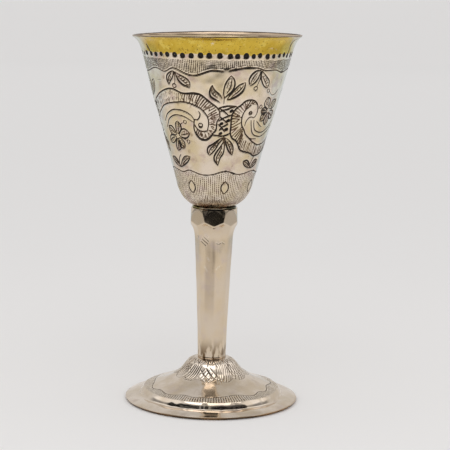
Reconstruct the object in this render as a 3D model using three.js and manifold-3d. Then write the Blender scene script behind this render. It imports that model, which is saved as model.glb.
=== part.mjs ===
// A silver chalice: a raised, engraved cup on a faceted stem and a domed foot.
// Millimetres, +Z up. The origin is the middle of the foot's seat, and the front of the pattern faces -Y.
import * as THREE from 'three';
import { mergeVertices } from 'three/addons/utils/BufferGeometryUtils.js';
import Module from 'manifold-3d';

const wasm = await Module();
wasm.setup();

// Foot
const FOOT_RADIUS = 30.7;
const FOOT_HEIGHT = 15.2;
const FOOT_SHEET = 1.0;
const RIM_EDGE = 0.5; // upright edge of the foot's rim
const FLANGE_WIDTH = 5.0; // from the rim in to the foot of the step
const FLANGE_RISE = 1.95;
const STEP_RISE = 2.4; // from the flange up to the rounded crest
const STEP_WIDTH = 1.9;
const DOME_SEAT_RADIUS = 5.6; // flat top of the dome that carries the stem

// Stem, with its faceted knop at the top
const STEM_LENGTH = 54.2;
const STEM_BASE_RADIUS = 5.15; // over the arrises
const STEM_CREASE_RADIUS = 6.8;
const STEM_BORE_RADIUS = 3.4;
const CREASE_DROP = 11.8; // from the stem's top down to the crease where the arches start
const ARCH_FLARE = 0.0105; // outward sweep of the arches, per mm cubed
const KNOP_RADIUS = 9.0;
const KNOP_DROP = 3.6; // from the stem's top down to the widest place
const KNOP_CURVE = 0.06; // fall of the radius, per mm squared
const KNOP_FLAT = 8.25; // from the axis to a knop facet
const FACETS = 8;

// Collar plate between the stem and the cup
const PLATE_RADIUS = 7.6;
const PLATE_THICKNESS = 0.6;

// Cup
const CUP_HEIGHT = 60.0;
const CUP_WALL = 0.9;
const CUP_FLOOR = 1.3;
const CUP_REST_RADIUS = 7.4; // flat underside that stands on the plate
const BELLY_RADIUS = 13.6; // where the rounded base meets the cone
const BELLY_RISE = 9.3;
const NECK_RADIUS = 25.5; // where the cone meets the flared lip
const NECK_DROP = 8.7;
const LIP_RADIUS = 29.8;

// Engraving on the cup
const LINE_WIDTH = 0.55;
const LINE_DEPTH = 0.32;
const CUTTER_RISE = 0.3; // how far a cutter stands out of the surface
const BAYS = 4; // scrolls and baskets around the cup
const BASKET_TURN = 8; // degrees from the front to the first basket
const PUNCHES = 54;
const PUNCH_RADIUS = 0.65;
const PUNCH_DEPTH = 0.45;
const PUNCH_DROP = 5.9; // from the lip down to the row of punches
const PUNCH_SIDES = 4;
const LEAF_BELLY = 0.45; // where a leaf is widest, as a share of its length
const LEAF_DEPTH = 0.35;
const PETALS = 5;
const PETAL_REACH = 3.6;
const UPPER_BORDER_DROP = 11.3; // from the lip down to the upper wavy border
const LOWER_BORDER_RISE = 13.2; // from the cup's base up to the lower wavy border
const UPPER_WAVES = 14;
const LOWER_WAVES = 9;
const WAVE_HEIGHT = 0.8;
const ALMONDS = 7;
const ALMOND_RISE = 7.9;
const ALMOND_LENGTH = 4.6;
const ALMOND_WIDTH = 0.55; // as a share of its length

// Engraving on the foot
const FOOT_BORDER_INSET = 3.4; // from the step's crest in to the wavy border
const FOOT_WAVES = 8;
const FOOT_WAVE_WIDTH = 0.7;
const DOME_HATCHES = 12;
const HATCH_REACH = 0.4; // length down the dome, as a share of the way to the border

// Fineness of the faceted surfaces
const AROUND = 28;
const KNOP_AROUND = 40;

const DEGREE = Math.PI / 180;
const UP = new THREE.Vector3(0, 0, 1);

const stemSilver = new THREE.MeshStandardMaterial({ color: 0xc9bca8, roughness: 0.32, metalness: 1 });
const cupSilver = new THREE.MeshStandardMaterial({ color: 0xcfc2ae, roughness: 0.3, metalness: 1 });
const footSilver = new THREE.MeshStandardMaterial({ color: 0xbfb6aa, roughness: 0.28, metalness: 1 });
const plateSilver = new THREE.MeshStandardMaterial({ color: 0xd2cabb, roughness: 0.35, metalness: 1 });

// A profile of [radius, height] pairs turned about Z.
function turned(profile, segments, phase = 0) {
  const points = profile.map(([radius, height]) => new THREE.Vector2(radius, height));
  const geometry = new THREE.LatheGeometry(points, segments, phase);
  geometry.rotateX(Math.PI / 2);
  return geometry;
}

function toSolid(geometry) {
  const bare = geometry.clone();
  bare.deleteAttribute('normal');
  bare.deleteAttribute('uv');
  const merged = mergeVertices(bare, 1e-5);
  const vertProperties = Float32Array.from(merged.attributes.position.array);
  const triVerts = Uint32Array.from(merged.index.array);
  const solid = new wasm.Manifold(new wasm.Mesh({ numProp: 3, vertProperties, triVerts }));
  // A mesh whose faces all point in has a negative volume, so it is turned inside out.
  if (solid.volume() > 0) return solid;
  triVerts.reverse();
  return new wasm.Manifold(new wasm.Mesh({ numProp: 3, vertProperties, triVerts }));
}

function toGeometry(solid) {
  const mesh = solid.getMesh();
  const geometry = new THREE.BufferGeometry();
  const positions = new Float32Array(mesh.numVert * 3);
  for (let i = 0; i < mesh.numVert; i += 1) {
    for (let k = 0; k < 3; k += 1) {
      positions[3 * i + k] = mesh.vertProperties[mesh.numProp * i + k];
    }
  }
  geometry.setAttribute('position', new THREE.BufferAttribute(positions, 3));
  geometry.setIndex(new THREE.BufferAttribute(Uint32Array.from(mesh.triVerts), 1));
  return geometry;
}

function bezier(a, b, c, d, steps) {
  const curve = new THREE.CubicBezierCurve(
    new THREE.Vector2(...a), new THREE.Vector2(...b), new THREE.Vector2(...c), new THREE.Vector2(...d),
  );
  return curve.getPoints(steps).map((p) => [p.x, p.y]);
}

// The same line moved sideways by a distance, to the left of its direction.
function offsetLine(line, distance) {
  return line.map(([x, y], i) => {
    const before = line[Math.max(i - 1, 0)];
    const after = line[Math.min(i + 1, line.length - 1)];
    const along = new THREE.Vector2(after[0] - before[0], after[1] - before[1]).normalize();
    return [x - distance * along.y, y + distance * along.x];
  });
}

// Radius and outward normal of a profile line at a height on it.
function onProfile(line, height) {
  const last = line.length - 2;
  let i = 0;
  while (i < last && (line[i + 1][1] - height) * (line[last + 1][1] - line[0][1]) < 0) i += 1;
  const [[r0, z0], [r1, z1]] = [line[i], line[i + 1]];
  const share = (height - z0) / (z1 - z0);
  const length = Math.hypot(r1 - r0, z1 - z0);
  const side = Math.sign(line[last + 1][1] - line[0][1]);
  return { radius: r0 + share * (r1 - r0), out: side * (z1 - z0) / length, up: -side * (r1 - r0) / length };
}

// A point of a surface of revolution at an angle from the front, with its outward normal.
function surfacePoint(line, degrees, height) {
  const { radius, out, up } = onProfile(line, height);
  const sin = Math.sin(degrees * DEGREE);
  const cos = Math.cos(degrees * DEGREE);
  return {
    point: new THREE.Vector3(radius * sin, -radius * cos, height),
    normal: new THREE.Vector3(out * sin, -out * cos, up),
  };
}

// A V-shaped cutter along surface points. Its open ends run out to a point, and a closed one joins up.
function grooveCutter(places, width, depth, closed = false) {
  const count = places.length;
  const reach = width / 2 * (depth + CUTTER_RISE) / depth;
  const positions = [];
  places.forEach(({ point, normal }, i) => {
    const before = places[closed ? (i + count - 1) % count : Math.max(i - 1, 0)].point;
    const after = places[closed ? (i + 1) % count : Math.min(i + 1, count - 1)].point;
    const along = after.clone().sub(before).normalize();
    const side = new THREE.Vector3().crossVectors(normal, along).normalize();
    const atEnd = !closed && (i === 0 || i === count - 1);
    const spread = atEnd ? reach * 0.25 : reach;
    const sink = atEnd ? depth * 0.2 : depth;
    const bottom = point.clone().addScaledVector(normal, -sink);
    const left = point.clone().addScaledVector(normal, CUTTER_RISE).addScaledVector(side, spread);
    const right = point.clone().addScaledVector(normal, CUTTER_RISE).addScaledVector(side, -spread);
    positions.push(...bottom, ...left, ...right);
  });
  const faces = [];
  const spans = closed ? count : count - 1;
  for (let i = 0; i < spans; i += 1) {
    const here = 3 * i;
    const next = 3 * ((i + 1) % count);
    for (let k = 0; k < 3; k += 1) {
      const l = (k + 1) % 3;
      faces.push(here + k, next + k, next + l, here + k, next + l, here + l);
    }
  }
  if (!closed) {
    const end = 3 * (count - 1);
    faces.push(0, 1, 2, end, end + 2, end + 1);
  }
  const geometry = new THREE.BufferGeometry();
  geometry.setAttribute('position', new THREE.BufferAttribute(new Float32Array(positions), 3));
  geometry.setIndex(faces);
  return toSolid(geometry);
}

// A small pyramid cutter, base outside and tip inside the wall.
function punchCutter({ point, normal }) {
  const length = PUNCH_DEPTH + CUTTER_RISE;
  const geometry = new THREE.ConeGeometry(PUNCH_RADIUS * length / PUNCH_DEPTH, length, PUNCH_SIDES);
  geometry.translate(0, length / 2 - CUTTER_RISE, 0);
  const inwards = normal.clone().negate();
  geometry.applyQuaternion(new THREE.Quaternion().setFromUnitVectors(new THREE.Vector3(0, 1, 0), inwards));
  geometry.translate(point.x, point.y, point.z);
  return toSolid(geometry);
}

// A leaf-shaped cutter: a kite outside the surface, whose sides slope in to a smaller kite as its floor.
function leafCutter(base, tip, width) {
  const along = tip.point.clone().sub(base.point);
  const belly = base.point.clone().addScaledVector(along, LEAF_BELLY);
  const normal = base.normal.clone().add(tip.normal).normalize();
  const side = new THREE.Vector3().crossVectors(normal, along).setLength(width * along.length() / 2);
  const outline = [base.point, belly.clone().add(side), tip.point, belly.clone().sub(side)];
  const slope = LEAF_DEPTH / side.length(); // the sides fall one in one at the belly
  const level = (rise) => {
    const spread = 1 + slope * rise / LEAF_DEPTH;
    const lifted = belly.clone().addScaledVector(normal, rise);
    return outline.map((point) => point.clone().sub(belly).multiplyScalar(spread).add(lifted));
  };
  const geometry = new THREE.BufferGeometry();
  const positions = [...level(-LEAF_DEPTH), ...level(CUTTER_RISE)].flatMap((point) => point.toArray());
  geometry.setAttribute('position', new THREE.BufferAttribute(new Float32Array(positions), 3));
  const faces = [0, 1, 3, 1, 2, 3, 4, 7, 5, 5, 7, 6];
  for (let k = 0; k < 4; k += 1) {
    const l = (k + 1) % 4;
    faces.push(k, k + 4, l, l, k + 4, l + 4);
  }
  geometry.setIndex(faces);
  return toSolid(geometry);
}

// Stem and knop: an eight-sided column and an eight-sided prism, both kept inside a barrel.
function stemGeometry() {
  const creaseHeight = STEM_LENGTH - CREASE_DROP;
  const knopHeight = STEM_LENGTH - KNOP_DROP;
  const knopFoot = knopHeight - Math.sqrt((KNOP_RADIUS - 0.9 * KNOP_FLAT) / KNOP_CURVE);
  const barrel = [[0, 0], [KNOP_RADIUS, 0], [KNOP_RADIUS, creaseHeight]];
  const steps = 6;
  for (let i = 0; i <= steps; i += 1) {
    const height = THREE.MathUtils.lerp(knopFoot, STEM_LENGTH, i / steps);
    barrel.push([KNOP_RADIUS - KNOP_CURVE * (height - knopHeight) ** 2, height]);
  }
  barrel.push([0, STEM_LENGTH]);
  // Over the arrises, widening to the crease and then sweeping out as the arches.
  const column = [[0, 0], [STEM_BASE_RADIUS, 0]];
  for (let i = 0; i <= steps; i += 1) {
    const height = THREE.MathUtils.lerp(creaseHeight, STEM_LENGTH, i / steps);
    column.push([STEM_CREASE_RADIUS + ARCH_FLARE * (height - creaseHeight) ** 3, height]);
  }
  column.push([0, STEM_LENGTH]);
  const prismRadius = KNOP_FLAT / Math.cos(Math.PI / FACETS);
  const prism = [[0, 0], [prismRadius, 0], [prismRadius, STEM_LENGTH], [0, STEM_LENGTH]];
  const bore = [[0, -1], [STEM_BORE_RADIUS, -1], [STEM_BORE_RADIUS, STEM_LENGTH + 1], [0, STEM_LENGTH + 1]];
  const solid = toSolid(turned(barrel, KNOP_AROUND))
    .intersect(toSolid(turned(column, FACETS)))
    .intersect(toSolid(turned(prism, FACETS, Math.PI / FACETS)))
    .subtract(toSolid(turned(bore, KNOP_AROUND / 2)));
  return toGeometry(solid);
}

// Outer line of the foot, from the dome's flat top out to the rim's edge.
function footLine() {
  const stepRadius = FOOT_RADIUS - FLANGE_WIDTH;
  const stepHeight = RIM_EDGE + FLANGE_RISE;
  const crestRadius = stepRadius - STEP_WIDTH;
  const crestHeight = stepHeight + STEP_RISE;
  const domeRise = FOOT_HEIGHT - crestHeight;
  const domeRun = crestRadius - DOME_SEAT_RADIUS;
  const waistRadius = DOME_SEAT_RADIUS + 0.38 * domeRun;
  const waistHeight = crestHeight + 0.44 * domeRise;
  return [
    ...bezier(
      [DOME_SEAT_RADIUS, FOOT_HEIGHT], [DOME_SEAT_RADIUS + 0.22 * domeRun, FOOT_HEIGHT - 0.03 * domeRise],
      [waistRadius - 0.17 * domeRun, waistHeight + 0.27 * domeRise], [waistRadius, waistHeight], 5,
    ),
    ...bezier(
      [waistRadius, waistHeight], [waistRadius + 0.14 * domeRun, waistHeight - 0.17 * domeRise],
      [crestRadius - 0.2 * domeRun, crestHeight + 0.12 * domeRise], [crestRadius, crestHeight], 3,
    ).slice(1),
    [crestRadius + 0.42 * STEP_WIDTH, crestHeight - 0.3 * STEP_RISE],
    [crestRadius + 0.75 * STEP_WIDTH, crestHeight - 0.68 * STEP_RISE],
    [stepRadius, stepHeight],
    [stepRadius + 0.32 * FLANGE_WIDTH, stepHeight - 0.14 * FLANGE_RISE],
    [stepRadius + 0.62 * FLANGE_WIDTH, stepHeight - 0.42 * FLANGE_RISE],
    [FOOT_RADIUS, RIM_EDGE],
  ];
}

function footGeometry() {
  const top = footLine();
  const under = offsetLine(top, -FOOT_SHEET).reverse();
  const seat = FOOT_RADIUS - FOOT_SHEET;
  // Every other point is enough for the underside
  const inside = under.filter(([radius], i) => i % 2 && radius < seat - 0.5 * FOOT_SHEET);
  const profile = [
    [STEM_BORE_RADIUS, FOOT_HEIGHT],
    ...top,
    [FOOT_RADIUS, 0],
    [seat, 0],
    ...inside,
    [STEM_BORE_RADIUS, FOOT_HEIGHT - FOOT_SHEET],
    [STEM_BORE_RADIUS, FOOT_HEIGHT],
  ];
  let solid = toSolid(turned(profile, AROUND));
  const falling = top.filter(([, height], i) => i === 0 || height < top[i - 1][1]);
  const heightAt = (radius) => {
    const i = Math.max(falling.findIndex(([r]) => r > radius), 1);
    const [[r0, z0], [r1, z1]] = [falling[i - 1], falling[i]];
    return z0 + (radius - r0) / (r1 - r0) * (z1 - z0);
  };
  const border = [];
  const borderRadius = FOOT_RADIUS - FLANGE_WIDTH - STEP_WIDTH - FOOT_BORDER_INSET;
  for (let i = 0; i < 2 * FOOT_WAVES; i += 1) {
    const radius = borderRadius + FOOT_WAVE_WIDTH * (i % 2 ? -1 : 1);
    border.push(surfacePoint(falling, 180 * i / FOOT_WAVES, heightAt(radius)));
  }
  solid = solid.subtract(grooveCutter(border, LINE_WIDTH, LINE_DEPTH, true));
  // Slanted cuts in pairs that lean against each other, around the steep part of the dome.
  const spacing = 360 / DOME_HATCHES;
  for (let i = 0; i < DOME_HATCHES; i += 1) {
    const lean = spacing * 0.45 * (i % 2 ? 1 : -1);
    const cut = [0.15, 0.4, 0.65, 0.9].map((share) => {
      const radius = DOME_SEAT_RADIUS + 1 + HATCH_REACH * share * (borderRadius - DOME_SEAT_RADIUS);
      return surfacePoint(falling, (i + 0.5) * spacing + lean * (2 * share - 1), heightAt(radius));
    });
    solid = solid.subtract(grooveCutter(cut, LINE_WIDTH, LINE_DEPTH));
  }
  return toGeometry(solid);
}

// Outer line of the cup, from its flat underside up to the lip.
function cupLine() {
  const neckHeight = CUP_HEIGHT - NECK_DROP;
  const slope = (NECK_RADIUS - BELLY_RADIUS) / (neckHeight - BELLY_RISE);
  const flare = LIP_RADIUS - NECK_RADIUS;
  const belly = bezier(
    [CUP_REST_RADIUS, 0],
    [CUP_REST_RADIUS + 0.52 * (BELLY_RADIUS - CUP_REST_RADIUS), 0.21 * BELLY_RISE],
    [BELLY_RADIUS - 0.42 * BELLY_RISE * slope, 0.58 * BELLY_RISE],
    [BELLY_RADIUS, BELLY_RISE], 4,
  );
  const lip = bezier(
    [NECK_RADIUS, neckHeight], [NECK_RADIUS + 0.4 * NECK_DROP * slope, neckHeight + 0.4 * NECK_DROP],
    [NECK_RADIUS + 0.42 * flare, CUP_HEIGHT - 0.2 * NECK_DROP],
    [LIP_RADIUS, CUP_HEIGHT - 0.4 * CUP_WALL], 4,
  );
  return [...belly, ...lip];
}

function cupSolid(outer) {
  const lipTop = [LIP_RADIUS - 0.4 * CUP_WALL, CUP_HEIGHT];
  const inner = offsetLine(outer, CUP_WALL)
    .filter(([radius, height]) => height > CUP_FLOOR && radius < lipTop[0] - 0.2 * CUP_WALL)
    .map(([radius, height]) => [radius, Math.min(height, CUP_HEIGHT - 0.1 * CUP_WALL)])
    .reverse();
  const profile = [[0, 0], ...outer, lipTop, ...inner];
  profile.push([inner[inner.length - 1][0] - 0.8 * CUP_WALL, CUP_FLOOR], [0, CUP_FLOOR]);
  return toSolid(turned(profile, AROUND));
}

// The cup's pattern: lines and leaves in [degrees from the front, height above the cup's base].
function cupPattern() {
  const low = LOWER_BORDER_RISE;
  const high = CUP_HEIGHT - UPPER_BORDER_DROP;
  const band = high - low;
  const bay = 360 / BAYS;
  const lines = [];
  const leaves = [];
  const wave = (height, count, rise) => {
    const points = [];
    for (let i = 0; i < 2 * count; i += 1) {
      points.push([180 * i / count, height + rise * (i % 2 ? -1 : 1)]);
    }
    lines.push({ points, closed: true });
  };
  const curve = (points, count) => {
    const spline = new THREE.SplineCurve(points.map((p) => new THREE.Vector2(...p)));
    lines.push({ points: spline.getSpacedPoints(count).map((p) => [p.x, p.y]), closed: false });
  };
  wave(high, UPPER_WAVES, WAVE_HEIGHT);
  wave(low, LOWER_WAVES, WAVE_HEIGHT * 0.7);

  // Scroll lines in shares of the bay's width and the band's height, from the scroll's middle
  const scrollOuter = [
    [-0.45, -0.05], [-0.42, 0.14], [-0.3, 0.22], [-0.07, 0.29], [0.1, 0.26], [0.29, 0.22], [0.41, 0.13],
    [0.43, 0.02], [0.39, -0.11], [0.29, -0.2], [0.18, -0.12], [0.17, -0.02],
  ];
  const scrollInner = [
    [-0.36, -0.05], [-0.3, 0.07], [-0.18, 0.14], [0.1, 0.165], [0.22, 0.13], [0.31, 0.06], [0.32, -0.04],
    [0.27, -0.09],
  ];
  const scrollVein = [[-0.26, -0.03], [-0.16, 0.05], [-0.03, 0.09], [0.07, 0.085], [0.16, 0.03]];
  for (let i = 0; i < BAYS; i += 1) {
    const basket = BASKET_TURN + bay * i;
    const centre = basket - bay / 2;
    const way = i % 2 ? -1 : 1; // every other scroll is turned by half a turn
    const place = ([x, y]) => [centre + way * x * bay, low + (0.5 + way * y) * band];
    curve(scrollOuter.map(place), 10);
    curve(scrollInner.map(place), 7);
    curve(scrollVein.map(place), 3);
    // Rosette in the hollow of the scroll
    const [rosetteTurn, rosetteHeight] = place([-0.05, -0.15]);
    const reachTurn = 2 * PETAL_REACH / (BELLY_RADIUS + NECK_RADIUS) / DEGREE;
    for (let k = 0; k < PETALS; k += 1) {
      const angle = 2 * Math.PI * (k + 0.25) / PETALS;
      const [base, tip] = [0.2, 1].map((share) => [
        rosetteTurn + share * reachTurn * Math.cos(angle),
        rosetteHeight + share * PETAL_REACH * Math.sin(angle),
      ]);
      leaves.push({ base, tip, width: 0.7 });
    }
    // Basket lattice between two scrolls, with a spray of three leaves above and below it
    const atBasket = ([x, y]) => [basket + x * bay, low + y * band];
    const half = 0.062;
    const [bottom, top] = [0.38, 0.665];
    for (const y of [bottom, top]) lines.push({ points: [[-half, y], [half, y]].map(atBasket) });
    for (const side of [-1, 1]) {
      lines.push({ points: [[-half * side, bottom], [half * side, (bottom + top) / 2]].map(atBasket) });
      lines.push({ points: [[-half * side, (bottom + top) / 2], [half * side, top]].map(atBasket) });
    }
    const spray = (turn, root, tips, width) => {
      const base = [turn, low + root * band];
      for (const [x, y] of tips) leaves.push({ base, tip: [turn + x * bay, low + y * band], width });
    };
    spray(basket, 0.71, [[-0.13, 0.86], [0.03, 0.94], [0.18, 0.88]], 0.4);
    spray(basket, 0.345, [[-0.165, 0.19], [-0.045, 0.1], [0.135, 0.19]], 0.4);
    // Leaf pairs that hang from the upper border and stand on the lower one
    spray(centre + (way > 0 ? 0 : -0.2) * bay, 0.95, [[-0.09, 0.84], [0.13, 0.83]], 0.45);
    spray(centre - 0.13 * bay, 0.04, [[-0.11, 0.15], [0.15, 0.16]], 0.45);
  }
  for (let i = 0; i < ALMONDS; i += 1) {
    const turn = 360 * (i + 0.28) / ALMONDS;
    const [base, tip] = [-0.5, 0.5].map((share) => [turn, ALMOND_RISE + share * ALMOND_LENGTH]);
    leaves.push({ base, tip, width: ALMOND_WIDTH });
  }
  return { lines, leaves };
}

function bowlGeometry() {
  const outer = cupLine();
  const { lines, leaves } = cupPattern();
  const at = ([degrees, height]) => surfacePoint(outer, degrees, height);
  let solid = cupSolid(outer);
  for (const { points, closed } of lines) {
    solid = solid.subtract(grooveCutter(points.map(at), LINE_WIDTH, LINE_DEPTH, closed));
  }
  for (const { base, tip, width } of leaves) {
    solid = solid.subtract(leafCutter(at(base), at(tip), width));
  }
  for (let i = 0; i < PUNCHES; i += 1) {
    solid = solid.subtract(punchCutter(at([360 * i / PUNCHES, CUP_HEIGHT - PUNCH_DROP])));
  }
  return toGeometry(solid);
}

function plateGeometry() {
  const profile = [[0, 0], [PLATE_RADIUS, 0], [PLATE_RADIUS, PLATE_THICKNESS], [0, PLATE_THICKNESS]];
  return toGeometry(toSolid(turned(profile, AROUND)));
}

const chalice = new THREE.Group();

function addPart(name, geometry, material, height) {
  const mesh = new THREE.Mesh(geometry, material);
  mesh.name = name;
  mesh.position.addScaledVector(UP, height);
  chalice.add(mesh);
}

addPart('foot', footGeometry(), footSilver, 0);
addPart('stem', stemGeometry(), stemSilver, FOOT_HEIGHT);
addPart('collar_plate', plateGeometry(), plateSilver, FOOT_HEIGHT + STEM_LENGTH);
addPart('bowl', bowlGeometry(), cupSilver, FOOT_HEIGHT + STEM_LENGTH + PLATE_THICKNESS);

export default chalice;
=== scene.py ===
"""A small engraved silver chalice: a raised cup with a gilt band, a faceted stem with a knop, and a domed foot.

Every new piece is a surface worked out from a profile turned about Z, with the silversmith's work laid over it:
hammer ripples, engraved lines, punches and hatching. Lengths inside the functions are millimetres, angles are
degrees from the front of the pattern, which faces -Y, and a mesh is written in metres.
"""
import math

import bpy
import numpy as np
from bpy.props import FloatProperty, FloatVectorProperty, IntProperty, PointerProperty
from mathutils import Matrix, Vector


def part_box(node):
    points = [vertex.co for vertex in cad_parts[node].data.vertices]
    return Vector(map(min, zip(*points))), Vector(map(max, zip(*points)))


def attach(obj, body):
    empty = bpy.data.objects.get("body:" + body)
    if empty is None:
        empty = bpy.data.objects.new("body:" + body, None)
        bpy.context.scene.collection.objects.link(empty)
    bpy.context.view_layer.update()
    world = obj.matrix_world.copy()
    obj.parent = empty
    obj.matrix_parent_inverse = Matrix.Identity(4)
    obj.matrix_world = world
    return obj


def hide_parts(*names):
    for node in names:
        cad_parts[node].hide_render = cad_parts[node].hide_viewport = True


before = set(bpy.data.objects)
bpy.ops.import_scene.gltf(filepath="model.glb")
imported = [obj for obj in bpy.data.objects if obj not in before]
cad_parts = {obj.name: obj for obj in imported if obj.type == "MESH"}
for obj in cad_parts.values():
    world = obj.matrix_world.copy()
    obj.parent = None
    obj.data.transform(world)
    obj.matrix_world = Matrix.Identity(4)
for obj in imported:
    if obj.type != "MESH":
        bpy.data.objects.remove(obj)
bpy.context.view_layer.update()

bl_info = {
    "name": "Silver chalice",
    "version": (1, 0, 0),
    "blender": (4, 5, 0),
    "location": "View3D > Sidebar > Chalice",
    "description": "Builds an engraved silver chalice and the stage that it stands on",
    "category": "Object",
}

MM = 0.001


def node_span(node):
    """Radius, lowest and highest place of a node of the frame, in millimetres."""
    low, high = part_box(node)
    return max(high.x, high.y) / MM, low.z / MM, high.z / MM


LIP_RADIUS, CUP_BOTTOM, CUP_TOP = node_span("bowl")
PLATE_RADIUS, PLATE_BOTTOM, PLATE_TOP = node_span("collar_plate")
KNOP_RADIUS, STEM_BOTTOM, STEM_TOP = node_span("stem")
FOOT_RADIUS, FOOT_BOTTOM, FOOT_TOP = node_span("foot")

# Fineness of the meshes
AROUND = 480  # columns of the engraved walls
COARSE = 4  # inner walls have this many times fewer columns
STEM_AROUND, PLATE_AROUND = 288, 96
CUP_PITCH, FOOT_PITCH = 0.345, 0.26  # millimetres from row to row of the engraved walls

# Millimetres
BORE_RADIUS = 3.4
LIP_WALL = 0.36  # thickness of the cup's sheet where the lip begins
GILT_EDGE = CUP_TOP - 7.4  # where the gilt band ends and the dashes begin
PUNCH_LEVEL = CUP_TOP - 6.15
ALMOND_LEVEL = CUP_BOTTOM + 7.9
AT = 0.36  # for a degree at the middle of the cup's pattern

# The stage, in metres: half the side of the floor and of the table's shade, and the tent's radius
FLOOR_REACH, TABLE_REACH, TENT_RADIUS = 30.0, 2.4, 2.5

# Profiles as radius and height, from the photo: the cup's above its base, the foot's above the table
CUP_WALL = [
    (6.7, 0.0), (7.35, 0.12), (8.5, 0.8), (10.7, 2.6), (12.2, 4.8), (13.1, 7.0), (13.8, 9.6), (15.0, 13.8),
    (17.2, 21.8), (19.6, 30.2), (22.2, 38.7), (24.4, 47.0), (25.5, 51.3), (26.2, 53.7), (26.8, 55.8), (27.5, 57.6),
    (28.4, 58.9), (29.5, 59.75),
]
FOOT_WALL = [
    (3.6, 15.2), (5.1, 15.2), (6.6, 15.0), (8.0, 14.3), (9.0, 13.35), (10.0, 12.1), (11.05, 10.8), (12.5, 9.6),
    (14.5, 8.38), (16.3, 7.5), (17.3, 7.06), (18.2, 6.71), (20.3, 5.93), (22.2, 5.26), (23.3, 4.9), (23.9, 4.62),
    (24.4, 4.14), (24.9, 3.58), (25.2, 3.05), (25.42, 2.5), (25.72, 2.16), (26.7, 2.03), (27.8, 1.9), (28.9, 1.6),
    (30.0, 1.2), (30.5, 1.05),
]

# Borders of the pattern, as degrees and height on the cup, or degrees and radius on the foot
UPPER_WAVE = [
    (-180, 118.2), (-158, 119.2), (-137, 117.9), (-117, 119.1), (-98, 118.0), (-75, 117.6), (-58, 119.0), (-46, 118.0),
    (-36, 119.4), (-25, 117.6), (-17, 117.2), (-4, 119.0), (6, 118.8), (22, 119.9), (33, 119.8), (42, 118.9),
    (54, 118.9), (65, 118.0), (84, 119.1), (103, 117.8), (124, 119.2), (148, 117.9), (166, 119.1),
]
LOWER_WAVE = [
    (-180, 83.6), (-152, 82.7), (-128, 83.8), (-102, 82.8), (-70, 84.0), (-49, 83.0), (-36, 83.8), (-20, 82.6),
    (-5, 82.6), (14, 83.9), (34, 82.6), (60, 83.6), (80, 82.6), (106, 83.7), (132, 82.7), (158, 83.8),
]
FOOT_WAVE = [
    (-180, 21.0), (-160, 21.9), (-142, 20.8), (-124, 21.8), (-104, 20.6), (-85, 20.4), (-70, 22.2), (-57, 21.2),
    (-42, 22.3), (-27, 21.0), (-16, 21.5), (5, 21.2), (24, 20.4), (41, 22.0), (54, 20.8), (64, 21.7), (78, 20.2),
    (98, 21.8), (117, 20.8), (138, 21.9), (160, 20.7),
]


def linear(hex_colour):
    """An sRGB hex colour as linear red, green, blue and full alpha."""
    values = np.array([int(hex_colour[i:i + 2], 16) for i in (1, 3, 5)]) / 255
    values = np.where(values <= 0.04045, values / 12.92, ((values + 0.055) / 1.055) ** 2.4)
    return (*values.tolist(), 1.0)


class CupSettings(bpy.types.PropertyGroup):
    """Sizes of the cup and its engraving."""

    wall: FloatProperty(
        name="Wall", description="Thickness of the raised sheet", default=0.9 * MM, unit="LENGTH", precision=4)
    floor: FloatProperty(
        name="Floor", description="Thickness of the cup's floor", default=1.3 * MM, unit="LENGTH", precision=4)
    cut_depth: FloatProperty(
        name="Cut depth", description="Depth of a full engraved line", default=0.3 * MM, unit="LENGTH", precision=4)
    ripple: FloatProperty(
        name="Ripple", description="Height of the hammer ripples", default=0.05 * MM, unit="LENGTH", precision=5)
    punches: IntProperty(
        name="Punches", description="Ring punches under the gilt band", default=54, min=8)


class StemSettings(bpy.types.PropertyGroup):
    """Sizes of the stem and its knop."""

    base_radius: FloatProperty(
        name="Base radius", description="Over the arrises at the foot end", default=5.15 * MM,
        unit="LENGTH", precision=4)
    crease_radius: FloatProperty(
        name="Crease radius", description="Over the arrises where the arches start", default=6.85 * MM,
        unit="LENGTH", precision=4)
    facet: FloatProperty(
        name="Facet", description="From the axis to a knop facet", default=8.25 * MM, unit="LENGTH", precision=4)
    softness: FloatProperty(
        name="Softness", description="Rounding of the filed arrises", default=0.06 * MM, unit="LENGTH", precision=5)


class FootSettings(bpy.types.PropertyGroup):
    """Sizes of the foot and its engraving."""

    sheet: FloatProperty(
        name="Sheet", description="Thickness of the raised sheet", default=1.0 * MM, unit="LENGTH", precision=4)
    cut_depth: FloatProperty(
        name="Cut depth", description="Depth of a full engraved line", default=0.28 * MM, unit="LENGTH", precision=4)
    ripple: FloatProperty(
        name="Ripple", description="Height of the hammer ripples", default=0.07 * MM, unit="LENGTH", precision=5)


class FinishSettings(bpy.types.PropertyGroup):
    """Colours of the metal."""

    cup_silver: FloatVectorProperty(
        name="Cup silver", description="Warm, lightly tarnished silver", subtype="COLOR", default=linear("#F8EAD8")[:3])
    stem_silver: FloatVectorProperty(
        name="Stem silver", description="Silver of the cast stem", subtype="COLOR", default=linear("#DDCFBD")[:3])
    foot_silver: FloatVectorProperty(
        name="Foot silver", description="Greyer silver of the foot", subtype="COLOR", default=linear("#E9DED2")[:3])
    gilding: FloatVectorProperty(
        name="Gilding", description="Worn fire gilding", subtype="COLOR", default=linear("#DCBD4E")[:3])
    oxide: FloatVectorProperty(
        name="Oxide", description="Black sulphide in the cuts", subtype="COLOR", default=linear("#1E1B18")[:3])


class StageSettings(bpy.types.PropertyGroup):
    """Floor, light and camera."""

    floor_colour: FloatVectorProperty(
        name="Floor colour", description="Pale paper", subtype="COLOR", default=linear("#F4F2F1")[:3])
    light: FloatProperty(
        name="Light", description="Strength of the even studio light", default=0.815, min=0)
    lens: FloatProperty(
        name="Lens", description="Focal length", default=126.32, unit="CAMERA")


SETTINGS = {
    "cup": CupSettings, "stem": StemSettings, "foot": FootSettings, "finish": FinishSettings, "stage": StageSettings,
}


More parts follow.
